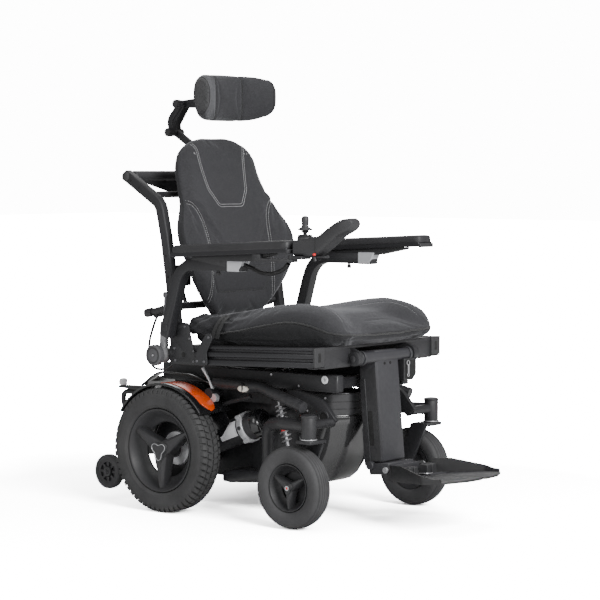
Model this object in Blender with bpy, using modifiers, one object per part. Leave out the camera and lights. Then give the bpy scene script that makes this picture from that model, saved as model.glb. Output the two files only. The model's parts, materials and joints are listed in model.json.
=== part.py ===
"""Power wheelchair: driven base, tilting seat, reclining back, powered legrest.

Metres, +Z up. The chair faces -Y, so its right-hand side is -X. Every shape is laid out with the
drive axle at y = 0 and z = 0 on the floor; the whole chair hangs on one empty that moves it so
that the origin is under the middle of its bounding box.
"""
import math

import bmesh
import bpy
from mathutils import Matrix, Vector

# ---------------------------------------------------------------- driving dimensions
AXLE_Y = 0.2803                        # drive axle, measured from the middle of the chair
GAP = 0.0004                           # running gap between touching pieces
SIDES = {"left": 1, "right": -1}

DRIVE_R, DRIVE_WIDTH, DRIVE_X = 0.178, 0.078, 0.274
DRIVE_RIM_R = 0.121
CASTER_R, CASTER_WIDTH, CASTER_RIM_R = 0.114, 0.064, 0.066
CASTER_X, CASTER_Y = 0.276, -0.471
STEM_X, STEM_Y = 0.281, -0.529
ANTI_TIP_R, ANTI_TIP_X, ANTI_TIP_Y, ANTI_TIP_Z = 0.0515, 0.205, 0.298, 0.081

TRAY_HALF, TRAY_REAR, TRAY_FRONT = 0.098, 0.105, -0.350
TRAY_FLOOR, TRAY_TOP, TRAY_WALL = 0.090, 0.318, 0.004
BATTERY_SIZE = (0.173, 0.216, 0.196)

SEAT_SLOPE = math.radians(-2.1)        # the seat rises towards the front
SEAT_REF = (-0.334, 0.463)             # middle of a seat rail, y and z
RAIL_X, RAIL_LENGTH, RAIL_HEIGHT, RAIL_WIDTH = 0.267, 0.430, 0.054, 0.040
TILT_PIVOT = (0.100, 0.415)
RECLINE_PIVOT = (-0.015, 0.455)
CANE_X, CANE_WIDE, CANE_DEEP = 0.232, 0.026, 0.030
ARM_X, ARM_PIVOT = 0.294, (-0.028, 0.530)
LEG_PIVOT = (-0.570, 0.460)
LEG_LEAN = math.atan2(0.027, 0.294)    # the legrest leans forwards by about five degrees
FOOT_PIVOT = (-0.641, 0.155)
FOOT_TOE_UP = math.radians(-4)
TILT_BODY, TILT_ROD_END = (-0.020, 0.337), (-0.300, 0.432)
RECLINE_MOTOR, RECLINE_ROD_END = (0.023, 0.449), (0.012, 0.620)
HEAD_LOW, HEAD_HIGH = (0.212, 1.088), (0.180, 1.172)
POD_PIVOT = (-0.324, -0.504)
STICK_X, STICK_Y = -0.298, -0.530

# ---------------------------------------------------------------- scene and materials
for old in list(bpy.data.objects):
    bpy.data.objects.remove(old, do_unlink=True)

CHAIR = bpy.data.collections.new("power_wheelchair")
CUTTERS = bpy.data.collections.new("cutters")
bpy.context.scene.collection.children.link(CHAIR)
bpy.context.scene.collection.children.link(CUTTERS)

PALETTE = {                            # colour, roughness, metallic
    "black_metal": ((0.020, 0.020, 0.022), 0.45, 0.4),
    "black_plastic": ((0.014, 0.014, 0.015), 0.50, 0.0),
    "gloss_plastic": ((0.008, 0.008, 0.009), 0.18, 0.0),
    "tyre_rubber": ((0.030, 0.030, 0.031), 0.85, 0.0),
    "caster_rubber": ((0.040, 0.040, 0.042), 0.80, 0.0),
    "seat_fabric": ((0.016, 0.016, 0.018), 0.90, 0.0),
    "pad_foam": ((0.024, 0.024, 0.026), 0.70, 0.0),
    "silver_metal": ((0.62, 0.62, 0.64), 0.35, 1.0),
    "anodised": ((0.026, 0.026, 0.029), 0.35, 0.6),
    "battery_case": ((0.030, 0.030, 0.034), 0.55, 0.0),
    "cable": ((0.010, 0.010, 0.010), 0.55, 0.0),
    "key_grey": ((0.10, 0.10, 0.11), 0.50, 0.0),
}


def make_material(name):
    """One Principled material for each finish in the palette."""
    colour, roughness, metallic = PALETTE[name]
    material = bpy.data.materials.new(name)
    material.use_nodes = True
    shader = material.node_tree.nodes["Principled BSDF"]
    shader.inputs["Base Color"].default_value = (*colour, 1.0)
    shader.inputs["Roughness"].default_value = roughness
    shader.inputs["Metallic"].default_value = metallic
    return material


MATERIALS = {name: make_material(name) for name in PALETTE}

# ---------------------------------------------------------------- outlines and paths


def rounded(points, radius, closed=False, steps=4):
    """The corners of a path or outline turned into arcs; works in 2 and 3 dimensions."""
    corners = [Vector(p) for p in points]
    count = len(corners)
    result = []
    for i, corner in enumerate(corners):
        if not closed and i in (0, count - 1):
            result.append(corner)
            continue
        before, after = corners[i - 1] - corner, corners[(i + 1) % count] - corner
        turn = math.pi - before.angle(after)
        reach = min(radius * math.tan(turn / 2), 0.49 * before.length, 0.49 * after.length)
        if turn < 0.02 or reach < 1e-5:
            result.append(corner)
            continue
        start = corner + before.normalized() * reach
        end = corner + after.normalized() * reach
        for step in range(steps + 1):
            t = step / steps
            result.append(start * (1 - t) ** 2 + corner * 2 * t * (1 - t) + end * t ** 2)
    return result


def band(path, width):
    """The outline of a flat bar of a given width that follows a 2D path."""
    points = [Vector(p) for p in path]
    left, right = [], []
    for i, point in enumerate(points):
        ahead = points[min(i + 1, len(points) - 1)]
        behind = points[max(i - 1, 0)]
        along = (ahead - behind).normalized()
        across = Vector((-along.y, along.x)) * width / 2
        left.append(point + across)
        right.append(point - across)
    return left + right[::-1]


def arc(centre, radius, start, end, steps):
    """Points on an arc; angles in degrees from the first axis."""
    angles = [math.radians(start + (end - start) * i / steps) for i in range(steps + 1)]
    return [Vector((centre[0] + radius * math.cos(a), centre[1] + radius * math.sin(a)))
            for a in angles]


# ---------------------------------------------------------------- modelling tools


def add(data, name, finish, matrix=None):
    """A new object for a mesh or curve, in the chair's collection."""
    obj = bpy.data.objects.new(name, data)
    CHAIR.objects.link(obj)
    data.materials.append(MATERIALS[finish])
    if matrix is not None:
        obj.matrix_world = matrix
    return obj


def mesh_from(bm, name):
    mesh = bpy.data.meshes.new(name)
    bm.to_mesh(mesh)
    bm.free()
    return mesh


def soften(obj, width, segments=2, angle=35):
    """Rounded edges."""
    bevel = obj.modifiers.new("rounded_edges", "BEVEL")
    bevel.width = width
    bevel.segments = segments
    bevel.angle_limit = math.radians(angle)
    return obj


def block(name, finish, low, high, bevel=0.0, turn_x=0.0, segments=1):
    """A box between two corners, turned about X through its middle."""
    low, high = Vector(low), Vector(high)
    bm = bmesh.new()
    bmesh.ops.create_cube(bm, size=1.0, matrix=Matrix.Diagonal((*(high - low), 1.0)))
    matrix = Matrix.Translation((low + high) / 2) @ Matrix.Rotation(turn_x, 4, "X")
    obj = add(mesh_from(bm, name), name, finish, matrix)
    return soften(obj, bevel, segments) if bevel else obj


def rod(name, finish, start, end, radius, end_radius=None, sides=20):
    """A round bar or cone between two points."""
    start, end = Vector(start), Vector(end)
    bm = bmesh.new()
    bmesh.ops.create_cone(bm, cap_ends=True, segments=sides, radius1=radius,
                          radius2=radius if end_radius is None else end_radius,
                          depth=(end - start).length)
    mesh = mesh_from(bm, name)
    mesh.shade_smooth()
    mesh.set_sharp_from_angle(angle=math.radians(40))
    turn = Vector((0, 0, 1)).rotation_difference(end - start).to_matrix().to_4x4()
    return add(mesh, name, finish, Matrix.Translation((start + end) / 2) @ turn)


def cross_rod(name, finish, centre, x_from, x_to, radius, sides=20):
    """A round bar along X, centred at a (y, z) point."""
    return rod(name, finish, (x_from, *centre), (x_to, *centre), radius, sides=sides)


PLANES = {                             # local x, y and z of a flat outline, as world directions
    "YZ": ((0, 1, 0), (0, 0, 1), (1, 0, 0)),
    "XY": ((1, 0, 0), (0, 1, 0), (0, 0, 1)),
    "XZ": ((1, 0, 0), (0, 0, 1), (0, -1, 0)),
}


def plate(name, finish, outline, plane, centre, thickness, bevel=0.0, turn_x=0.0, segments=1):
    """A flat outline given a thickness, centred at a distance along the plane's normal."""
    curve = bpy.data.curves.new(name, "CURVE")
    curve.dimensions = "2D"
    curve.fill_mode = "BOTH"
    curve.extrude = thickness / 2
    spline = curve.splines.new("POLY")
    spline.points.add(len(outline) - 1)
    for point, place in zip(spline.points, outline):
        point.co = (place[0], place[1], 0.0, 1.0)
    spline.use_cyclic_u = True
    axes = Matrix(PLANES[plane]).transposed().to_4x4()
    matrix = Matrix.Rotation(turn_x, 4, "X") @ axes
    matrix.translation = Vector(centre)
    obj = as_mesh(add(curve, name, finish, matrix))
    return soften(obj, bevel, segments) if bevel else obj


def tube(name, finish, points, radius, resolution=3):
    """A bent round tube along a list of points."""
    curve = bpy.data.curves.new(name, "CURVE")
    curve.dimensions = "3D"
    curve.bevel_depth = radius
    curve.bevel_resolution = resolution
    curve.use_fill_caps = True
    spline = curve.splines.new("POLY")
    spline.points.add(len(points) - 1)
    for point, place in zip(spline.points, points):
        point.co = (*place, 1.0)
    return as_mesh(add(curve, name, finish))


def as_mesh(curve_object):
    """A curve object turned into a closed mesh object of the same name and place."""
    bpy.context.view_layer.update()
    graph = bpy.context.evaluated_depsgraph_get()
    mesh = bpy.data.meshes.new_from_object(curve_object.evaluated_get(graph))
    bm = bmesh.new()
    bm.from_mesh(mesh)
    bmesh.ops.remove_doubles(bm, verts=bm.verts, dist=0.00002)
    bmesh.ops.recalc_face_normals(bm, faces=bm.faces)
    bm.to_mesh(mesh)
    bm.free()
    mesh.shade_smooth()
    mesh.set_sharp_from_angle(angle=math.radians(40))
    name, matrix = curve_object.name, curve_object.matrix_world.copy()
    bpy.data.objects.remove(curve_object, do_unlink=True)
    obj = bpy.data.objects.new(name, mesh)
    CHAIR.objects.link(obj)
    obj.matrix_world = matrix
    return obj


def turned(name, finish, profile, centre, steps, closed=False):
    """A profile of (radius, x) turned about an axis along X."""
    bm = bmesh.new()
    points = [bm.verts.new((radius, 0.0, height)) for radius, height in profile]
    for first, second in zip(points, points[1:] + (points[:1] if closed else [])):
        bm.edges.new((first, second))
    matrix = Matrix.Translation(centre) @ Matrix.Rotation(math.radians(90), 4, "Y")
    obj = add(mesh_from(bm, name), name, finish, matrix)
    screw = obj.modifiers.new("turn", "SCREW")
    screw.steps = screw.render_steps = steps
    screw.use_merge_vertices = True
    screw.merge_threshold = 0.00005
    screw.use_smooth_shade = True
    return obj


def lofted(name, finish, rows):
    """A solid stretched through rows of points, closed at the first and the last row."""
    bm = bmesh.new()
    rings = [[bm.verts.new(point) for point in row] for row in rows]
    count = len(rings[0])
    for low, high in zip(rings, rings[1:]):
        for k in range(count):
            following = (k + 1) % count
            bm.faces.new((low[k], low[following], high[following], high[k]))
    bm.faces.new(list(reversed(rings[0])))
    bm.faces.new(rings[-1])
    bmesh.ops.recalc_face_normals(bm, faces=bm.faces)
    return add(mesh_from(bm, name), name, finish)


def combine(target, others, operation="UNION"):
    """Other pieces joined to a piece, or cut from it, as live Booleans."""
    for number, other in enumerate(others):
        CHAIR.objects.unlink(other)
        CUTTERS.objects.link(other)
        other.name = f"{target.name}_{operation.lower()}_{number}"
        other.hide_render = True
        other.display_type = "WIRE"
        boolean = target.modifiers.new(operation.lower(), "BOOLEAN")
        boolean.operation = operation
        boolean.object = other
    return target


def soft_form(name, finish, cuts, shape, levels=1):
    """A closed soft form: a divided cube whose corners a function moves, then subdivided."""
    bm = bmesh.new()
    bmesh.ops.create_cube(bm, size=2.0)
    bmesh.ops.subdivide_edges(bm, edges=bm.edges, cuts=cuts, use_grid_fill=True)
    for vertex in bm.verts:
        vertex.co = shape(*vertex.co)
    bmesh.ops.recalc_face_normals(bm, faces=bm.faces)
    mesh = mesh_from(bm, name)
    mesh.shade_smooth()
    obj = add(mesh, name, finish)
    subdivision = obj.modifiers.new("soft", "SUBSURF")
    subdivision.levels = subdivision.render_levels = levels
    return obj


def blend_between(points, value):
    """Straight-line interpolation in a list of (position, result) pairs."""
    if value <= points[0][0]:
        return points[0][1]
    for (low, first), (high, second) in zip(points, points[1:]):
        if value <= high:
            return first + (second - first) * (value - low) / (high - low)
    return points[-1][1]


def seat_point(y, above=0.0):
    """Height of the sloping seat plane at y, plus a distance above the rails' middle."""
    return SEAT_REF[1] + (y - SEAT_REF[0]) * math.tan(SEAT_SLOPE) + above


# ---------------------------------------------------------------- base


def make_tray():
    """The battery tray, a welded box that is open on top and is the base's backbone."""
    half = TRAY_HALF
    tray = block("chassis_tray", "black_metal", (-half, TRAY_FRONT, TRAY_FLOOR),
                 (half, TRAY_REAR, TRAY_TOP))
    inner = half - TRAY_WALL
    hollow = block("hollow", "black_metal", (-inner, TRAY_FRONT + TRAY_WALL, TRAY_FLOOR + TRAY_WALL),
                   (inner, TRAY_REAR - TRAY_WALL, TRAY_TOP + 0.02))
    return combine(tray, [hollow], "DIFFERENCE")


def make_batteries():
    """Two batteries, one behind the other."""
    wide, long, high = BATTERY_SIZE
    middle = (TRAY_REAR + TRAY_FRONT) / 2
    for name, y in (("battery_front", middle - long / 2 - 0.003),
                    ("battery_rear", middle + long / 2 + 0.003)):
        floor = TRAY_FLOOR + TRAY_WALL + GAP
        block(name, "battery_case", (-wide / 2, y - long / 2, floor),
              (wide / 2, y + long / 2, floor + high), bevel=0.004)


def make_controller():
    """The motor controller, on the batteries beside the tilt actuator."""
    top_of_battery = TRAY_FLOOR + TRAY_WALL + GAP + BATTERY_SIZE[2]
    block("motor_controller", "black_plastic", (0.036, -0.338, top_of_battery + GAP),
          (0.090, -0.190, top_of_battery + 0.040), bevel=0.004)


def bow_outline(inset, nose, back):
    """The front casing's outline seen from above, open at the back."""
    half = 0.105 - inset
    shoulder = nose + min(0.040, 0.6 * (back - nose))
    return rounded([(-half, back), (-half, shoulder), (-half * 0.52, nose), (half * 0.52, nose),
                    (half, shoulder), (half, back)], 0.038, steps=6)


def make_front_shell():
    """The bow-shaped front casing: a glossy keel with a recessed upper band, open at the back."""
    hull = [(0.0915, 0.040, -0.374), (0.0935, 0.020, -0.396), (0.1000, 0.010, -0.416),
            (0.1180, 0.004, -0.438), (0.1500, 0.001, -0.459), (0.1900, 0.000, -0.477),
            (0.2300, 0.000, -0.489), (0.2650, 0.000, -0.497), (0.2890, 0.000, -0.4995),
            (0.2900, 0.008, -0.4910), (0.3520, 0.010, -0.4880)]
    shell = lofted("front_shell", "gloss_plastic",
                   [[(x, y, z) for x, y in bow_outline(inset, nose, -0.3515)]
                    for z, inset, nose in hull])
    hollow = [(0.0965, 0.046, -0.370), (0.0985, 0.025, -0.391), (0.1050, 0.014, -0.412),
              (0.1210, 0.008, -0.434), (0.1520, 0.005, -0.455), (0.1910, 0.004, -0.473),
              (0.2300, 0.004, -0.485), (0.2650, 0.004, -0.493), (0.2860, 0.004, -0.4955),
              (0.2870, 0.012, -0.4870), (0.3600, 0.014, -0.4840)]
    inside = lofted("inside", "gloss_plastic",
                    [[(x, y, z) for x, y in bow_outline(inset, nose, -0.3300)]
                     for z, inset, nose in hollow])
    return combine(shell, [inside], "DIFFERENCE")


def make_rear_cover():
    """The top casing over the rear of the base, with a bay for the seat frame."""
    path = rounded([(-0.105, 0.366), (-0.020, 0.388), (0.105, 0.391), (0.172, 0.346)], 0.09)
    cover = plate("rear_cover", "gloss_plastic", band(path, 0.005), "YZ", (0, 0, 0), 0.400)
    bay = block("bay", "gloss_plastic", (-0.172, -0.200, 0.300), (0.172, 0.136, 0.450))
    return combine(cover, [bay], "DIFFERENCE")


def make_seat_base():
    """The fixed ladder frame that carries the seat, with the tilt hinge pin at its rear."""
    beams = [block(name, "black_metal", (side * 0.150 - 0.015, -0.535, 0.366),
                   (side * 0.150 + 0.015, 0.118, 0.414), bevel=0.003)
             for name, side in (("seat_base", 1), ("beam", -1))]
    cross = [block("cross", "black_metal", (-0.140, y, z), (0.140, y + 0.028, z + 0.030))
             for y, z in ((-0.505, 0.372), (0.008, 0.371))]
    feet = [block("foot", "black_metal", (min(side * 0.0985, side * 0.140), y, 0.300),
                  (max(side * 0.0985, side * 0.140), y + 0.040, 0.372))
            for side in (1, -1) for y in (-0.318, 0.040)]
    ears = [plate("ear", "black_metal", rounded([(-0.034, 0.322), (-0.006, 0.322), (0.012, 0.380),
                                                (0.030, 0.390), (0.008, 0.398), (-0.034, 0.352)],
                                               0.006, closed=True, steps=3),
                  "YZ", (side * 0.0165, 0, 0), 0.005) for side in (1, -1)]
    pins = [cross_rod("pin", "black_metal", TILT_PIVOT, -0.145, 0.145, 0.008, 16),
            cross_rod("pin", "black_metal", TILT_BODY, -0.018, 0.018, 0.005, 12)]
    return combine(beams[0], cross + [beams[1]] + feet + ears + pins)


def make_motor(side_name):
    """A drive motor with its right-angle gearbox and the stub of the half shaft."""
    side = SIDES[side_name]
    x = side * 0.1495
    body = rod(f"drive_motor_{side_name}", "black_metal", (x, -0.030, 0.182), (x, -0.236, 0.259),
               0.0395, sides=28)
    cap = rod("cap", "black_metal", (x, -0.225, 0.255), (x, -0.262, 0.269), 0.035, 0.027, sides=28)
    low, high = sorted((side * 0.0988, side * 0.186))
    gearbox = block("gearbox", "black_metal", (low, -0.062, 0.130), (high, 0.052, 0.226), bevel=0.010)
    shaft = cross_rod("shaft", "black_metal", (0, DRIVE_R), side * 0.180, side * 0.2375, 0.014)
    return combine(body, [cap, gearbox, shaft])


def make_fender(side_name):
    """A mudguard: an arched strip that follows the tyre from the rear down to its front."""
    side = SIDES[side_name]
    axle = (0, DRIVE_R)
    path = arc(axle, 0.188, 32, 143, 14)
    fender = plate(f"fender_{side_name}", "gloss_plastic", band(path, 0.004), "YZ",
                   (side * 0.2575, 0, 0), 0.084)
    low, high = sorted((side * 0.2006, side * 0.222))
    tab = block("tab", "gloss_plastic", (low, -0.020, 0.359), (high, 0.030, 0.3665))
    return combine(fender, [tab])


def make_upper_link(side_name):
    """The upper suspension link, a bent tube from the base to above the caster stem."""
    side = SIDES[side_name]
    points = rounded([(side * 0.192, -0.112, 0.369), (side * 0.212, -0.300, 0.373),
                      (side * 0.246, -0.480, 0.330)], 0.09)
    link = tube(f"upper_link_{side_name}", "black_metal", points, 0.0160, 3)
    low, high = sorted((side * 0.1655, side * 0.192))
    boss = block("boss", "black_metal", (low, -0.138, 0.358), (high, -0.112, 0.380), bevel=0.002)
    return combine(link, [boss])


def make_caster_arm(side_name):
    """The caster swing arm: a heavy bent tube, the stem housing and a cast side plate."""
    side = SIDES[side_name]
    route = [(side * STEM_X, STEM_Y + 0.008, 0.284), (side * 0.262, -0.420, 0.284),
             (side * 0.222, -0.335, 0.272), (side * 0.201, -0.318, 0.122),
             (side * 0.196, -0.170, 0.108)]
    arm = tube(f"caster_arm_{side_name}", "black_metal", rounded(route, 0.055), 0.0180, 3)
    housing = rod("housing", "black_metal", (side * STEM_X, STEM_Y, 0.248),
                  (side * STEM_X, STEM_Y, 0.314), 0.021, sides=24)
    path = rounded([(-0.345, 0.336), (-0.400, 0.352), (-0.490, 0.332), (-0.534, 0.282)], 0.06)
    casting = plate("casting", "black_metal", band(path, 0.036), "YZ", (side * 0.181, 0, 0), 0.014,
                    bevel=0.003)
    bridge = rod("bridge", "black_metal", (side * 0.180, STEM_Y, 0.287),
                 (side * (STEM_X - 0.002), STEM_Y, 0.287), 0.013, sides=16)
    low, high = sorted((side * 0.0988, side * 0.2115))
    foot = block("foot", "black_metal", (low, -0.185, 0.094), (high, -0.155, 0.122), bevel=0.004)
    return combine(arm, [housing, casting, bridge, foot])


def make_rear_frame():
    """The rear frame: a cross tube, the anti-tip arms, and the tail tubes with lamp brackets."""
    tail = cross_rod("rear_frame", "black_metal", (0.124, 0.160), -0.190, 0.190, 0.013, 14)
    extras = []
    for side in (1, -1):
        x = side * 0.183
        upright = [(0.112, 0.145), (0.138, 0.145), (0.150, 0.335), (0.124, 0.338)]
        extras.append(plate("upright", "black_metal", upright, "YZ", (x, 0, 0), 0.006))
        arm = rounded([(0.115, 0.160), (0.200, 0.150), (0.250, 0.108), (ANTI_TIP_Y, ANTI_TIP_Z)],
                      0.05, steps=3)
        extras.append(plate("arm", "black_metal", band(arm, 0.026), "YZ", (x, 0, 0), 0.0085))
        extras.append(cross_rod("stub", "black_metal", (ANTI_TIP_Y, ANTI_TIP_Z), x,
                                side * (ANTI_TIP_X + 0.016), 0.0055, 12))
        loop = rounded([(x, 0.135, 0.322), (x, 0.262, 0.322), (x, 0.256, 0.276),
                        (x, 0.135, 0.240)], 0.022, steps=3)
        extras.append(tube("loop", "black_metal", loop, 0.008, 2))
        bracket = [(0.128, 0.322), (0.176, 0.330), (0.262, 0.334), (0.262, 0.340),
                   (0.176, 0.342), (0.128, 0.334)]
        extras.append(plate("bracket", "black_metal", bracket, "YZ", (side * 0.187, 0, 0), 0.030))
    return combine(tail, extras)


# ---------------------------------------------------------------- wheels


def tyre(name, finish, centre, radius, rim_radius, width, steps):
    """A tyre: a closed round-shouldered section turned about the axle."""
    half = width / 2
    side_wall = rim_radius + 0.55 * (radius - rim_radius)
    right = [(radius, half * 0.45), (radius - 0.012, half * 0.86), (side_wall, half),
             (rim_radius + 0.004, half * 0.86), (rim_radius, half * 0.62)]
    outer = [(radius, 0.0)]
    section = [(r, x) for r, x in reversed(right)] + outer + [(r, -x) for r, x in right]
    return turned(name, finish, section, centre, steps, closed=True)


def rim(name, finish, centre, radius, width, side, steps, hub_radius, spoke_width):
    """A three-spoke wheel: a dished rim ring, a hub and three broad spokes."""
    half = width / 2
    lip = radius - 0.0010
    inner = radius - 0.012
    section = [(inner, half), (lip, half), (lip, -half), (inner, -half), (inner - 0.006, 0.0)]
    ring = turned(name, finish, section, centre, steps, closed=True)
    face = side * half
    hub = rod("hub", finish, Vector(centre) + Vector((face * 0.80, 0, 0)),
              Vector(centre) - Vector((face * 0.95, 0, 0)), hub_radius, sides=14)
    spokes = []
    for turn in range(3):
        bm = bmesh.new()
        size = (width * 0.32, spoke_width, inner + 0.004)
        bmesh.ops.create_cube(bm, size=1.0, matrix=Matrix.Translation((face * 0.35, 0, size[2] / 2))
                              @ Matrix.Diagonal((*size, 1.0)))
        matrix = Matrix.Translation(centre) @ Matrix.Rotation(math.radians(180 + 120 * turn), 4, "X")
        spokes.append(soften(add(mesh_from(bm, "spoke"), "spoke", finish, matrix), 0.003, 1))
    return combine(ring, [hub] + spokes)


def make_drive_wheel(side_name):
    side = SIDES[side_name]
    centre = (side * DRIVE_X, 0, DRIVE_R)
    tyre(f"drive_tyre_{side_name}", "tyre_rubber", centre, DRIVE_R, DRIVE_RIM_R, DRIVE_WIDTH, 36)
    rim(f"drive_rim_{side_name}", "black_plastic", centre, DRIVE_RIM_R, DRIVE_WIDTH * 0.86, side, 28,
        0.030, 0.034)


def make_caster(side_name):
    """A caster: the swivelling single-leg fork, the tyre and the rim."""
    side = SIDES[side_name]
    centre = (side * CASTER_X, CASTER_Y, CASTER_R)
    tyre(f"caster_tyre_{side_name}", "caster_rubber", centre, CASTER_R, CASTER_RIM_R, CASTER_WIDTH,
         30)
    rim(f"caster_rim_{side_name}", "black_plastic", centre, CASTER_RIM_R, CASTER_WIDTH * 0.80, side,
        20, 0.015, 0.018)
    leg_x = side * 0.2355
    leg = plate(f"caster_fork_{side_name}", "black_metal", rounded(
        [(-0.549, 0.2465), (-0.492, 0.2465), (-0.452, 0.120), (-0.458, 0.096), (-0.484, 0.096),
         (-0.492, 0.120)], 0.010, closed=True, steps=3), "YZ", (leg_x, 0, 0), 0.009)
    low, high = sorted((side * 0.2315, side * 0.303))
    top = block("top", "black_metal", (low, -0.552, 0.2375), (high, -0.500, 0.2475), bevel=0.002)
    axle = cross_rod("axle", "black_metal", (CASTER_Y, CASTER_R), leg_x, side * 0.2495, 0.010, 16)
    combine(leg, [top, axle])


def make_anti_tip_wheel(side_name):
    """A small solid disc wheel with a bored centre."""
    side = SIDES[side_name]
    section = [(0.0060, 0.013), (0.0240, 0.009), (ANTI_TIP_R - 0.004, 0.0125),
               (ANTI_TIP_R, 0.006), (ANTI_TIP_R, -0.006), (ANTI_TIP_R - 0.004, -0.0125),
               (0.0240, -0.009), (0.0060, -0.013)]
    turned(f"anti_tip_wheel_{side_name}", "caster_rubber", section,
           (side * ANTI_TIP_X, ANTI_TIP_Y, ANTI_TIP_Z), 24, closed=True)


# ---------------------------------------------------------------- seat


def make_rail(side_name):
    """A seat rail: a grooved aluminium section, cut off square at both ends."""
    side = SIDES[side_name]
    w, h = RAIL_WIDTH / 2, RAIL_HEIGHT / 2
    outline = [(-w, -h), (w, -h), (w, -0.012), (w - 0.007, -0.010), (w - 0.007, -0.004),
               (w, -0.002), (w, 0.010), (w - 0.006, 0.012), (w - 0.006, 0.018), (w, 0.020),
               (w, h), (-w, h)]
    outline = [(side * x, z) for x, z in outline]
    plate(f"seat_rail_{side_name}", "anodised", outline, "XZ",
          (side * RAIL_X, SEAT_REF[0], SEAT_REF[1]), RAIL_LENGTH, turn_x=SEAT_SLOPE)


def make_side_plate(side_name):
    """The tapering plate at the rear of the seat, which carries the armrest hinge."""
    side = SIDES[side_name]
    outline = rounded([(-0.117, 0.426), (-0.022, 0.426), (-0.010, 0.512), (-0.020, 0.545),
                       (-0.082, 0.545), (-0.088, 0.520)], 0.010, closed=True, steps=3)
    side_plate = plate(f"side_plate_{side_name}", "black_metal", outline, "YZ",
                       (side * 0.2715, 0, 0), 0.005)
    hole = cross_rod("hole", "black_metal", (-0.065, 0.454), side * 0.26, side * 0.28, 0.007, 16)
    pin = cross_rod("pin", "black_metal", ARM_PIVOT, side * 0.272, side * 0.312, 0.006, 14)
    combine(side_plate, [hole], "DIFFERENCE")
    combine(side_plate, [pin])


def make_seat_frame():
    """The tilting seat frame: the pan, the rear side beams, hinge arms and front cross tube."""
    top = RAIL_HEIGHT / 2
    pan_y = (-0.552, -0.045)
    middle = (pan_y[0] + pan_y[1]) / 2
    pan_z = seat_point(middle, top - 0.005)
    pan = block("seat_frame", "black_metal", (-0.2465, pan_y[0], pan_z - 0.0045),
                (0.2465, pan_y[1], pan_z + 0.0035), turn_x=SEAT_SLOPE)
    extras = []
    for side in (1, -1):
        low, high = sorted((side * 0.2485, side * 0.2685))
        beam = block("beam", "black_metal", (low, -0.1165, 0.434), (high, -0.0045, 0.476))
        extras.append(beam)
        low, high = sorted((side * 0.225, side * 0.2600))
        extras.append(block("ledge", "black_metal", (low, -0.110, 0.466), (high, -0.050, 0.480)))
        extras.append(cross_rod("pin", "black_metal", RECLINE_PIVOT, side * 0.214, side * 0.252,
                                0.007, 14))
        hinge = rounded([(-0.130, 0.432), (0.090, 0.398), (0.116, 0.404), (0.116, 0.428),
                         (0.060, 0.434), (-0.050, 0.478), (-0.130, 0.478)], 0.008, closed=True,
                        steps=1)
        extras.append(plate("hinge_arm", "black_metal", hinge, "YZ", (side * 0.118, 0, 0), 0.012))
        front = rounded([(-0.588, 0.446), (-0.440, 0.452), (-0.400, 0.486), (-0.560, 0.488),
                         (-0.588, 0.476)], 0.008, closed=True, steps=1)
        extras.append(plate("front_beam", "black_metal", front, "YZ", (side * 0.124, 0, 0), 0.012))
        extras.append(cross_rod("flange", "black_metal", LEG_PIVOT, side * 0.117, side * 0.139,
                                0.020, 18))
        ear = rounded([(-0.322, 0.418), (-0.280, 0.418), (-0.262, 0.482), (-0.336, 0.482)], 0.008,
                      closed=True, steps=1)
        extras.append(plate("clevis", "black_metal", ear, "YZ", (side * 0.0185, 0, 0), 0.005))
        low, high = sorted((side * 0.1285, side * 0.2465))
        extras.append(block("front_bar", "black_metal", (low, -0.5515, 0.438),
                            (high, -0.5395, 0.4895)))
    extras.append(cross_rod("cross_tube", "black_metal", LEG_PIVOT, -0.125, 0.125, 0.011, 16))
    extras.append(block("motor_bracket", "black_metal", (-0.2508, -0.010, 0.436),
                        (-0.2472, 0.036, 0.464)))
    combine(pan, extras)
    bore = cross_rod("bore", "black_metal", TILT_PIVOT, -0.130, 0.130, 0.0084, 20)
    return combine(pan, [bore], "DIFFERENCE")


def make_cushion():
    """The seat cushion: raised sides, two leg troughs and a cut-back front edge."""
    half_width = [(-0.600, 0.205), (-0.560, 0.230), (-0.500, 0.240), (-0.080, 0.240)]
    crest = [(-0.600, 0.548), (-0.520, 0.572), (-0.420, 0.588), (-0.250, 0.578), (-0.060, 0.566)]

    def shape(u, v, w):
        y = -0.3275 + 0.2700 * v
        x = u * blend_between(half_width, y)
        bottom = seat_point(y, RAIL_HEIGHT / 2 + 0.006)
        trough = 0.026 * math.cos(math.pi * min(1.0, abs(abs(u) - 0.45) / 0.45) / 2)
        top = blend_between(crest, y) - trough
        edge = 0.010 * (abs(u) > 0.9) + 0.010 * (abs(v) > 0.9)
        z = bottom if w < 0 else top - edge
        if abs(w) < 0.9:
            z = bottom + (top - edge - bottom) * (w + 1) / 2
            x *= 1.0 + 0.02 * (abs(u) > 0.9)
        return (x, y, z)

    soft_form("seat_cushion", "seat_fabric", 3, shape)


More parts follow.
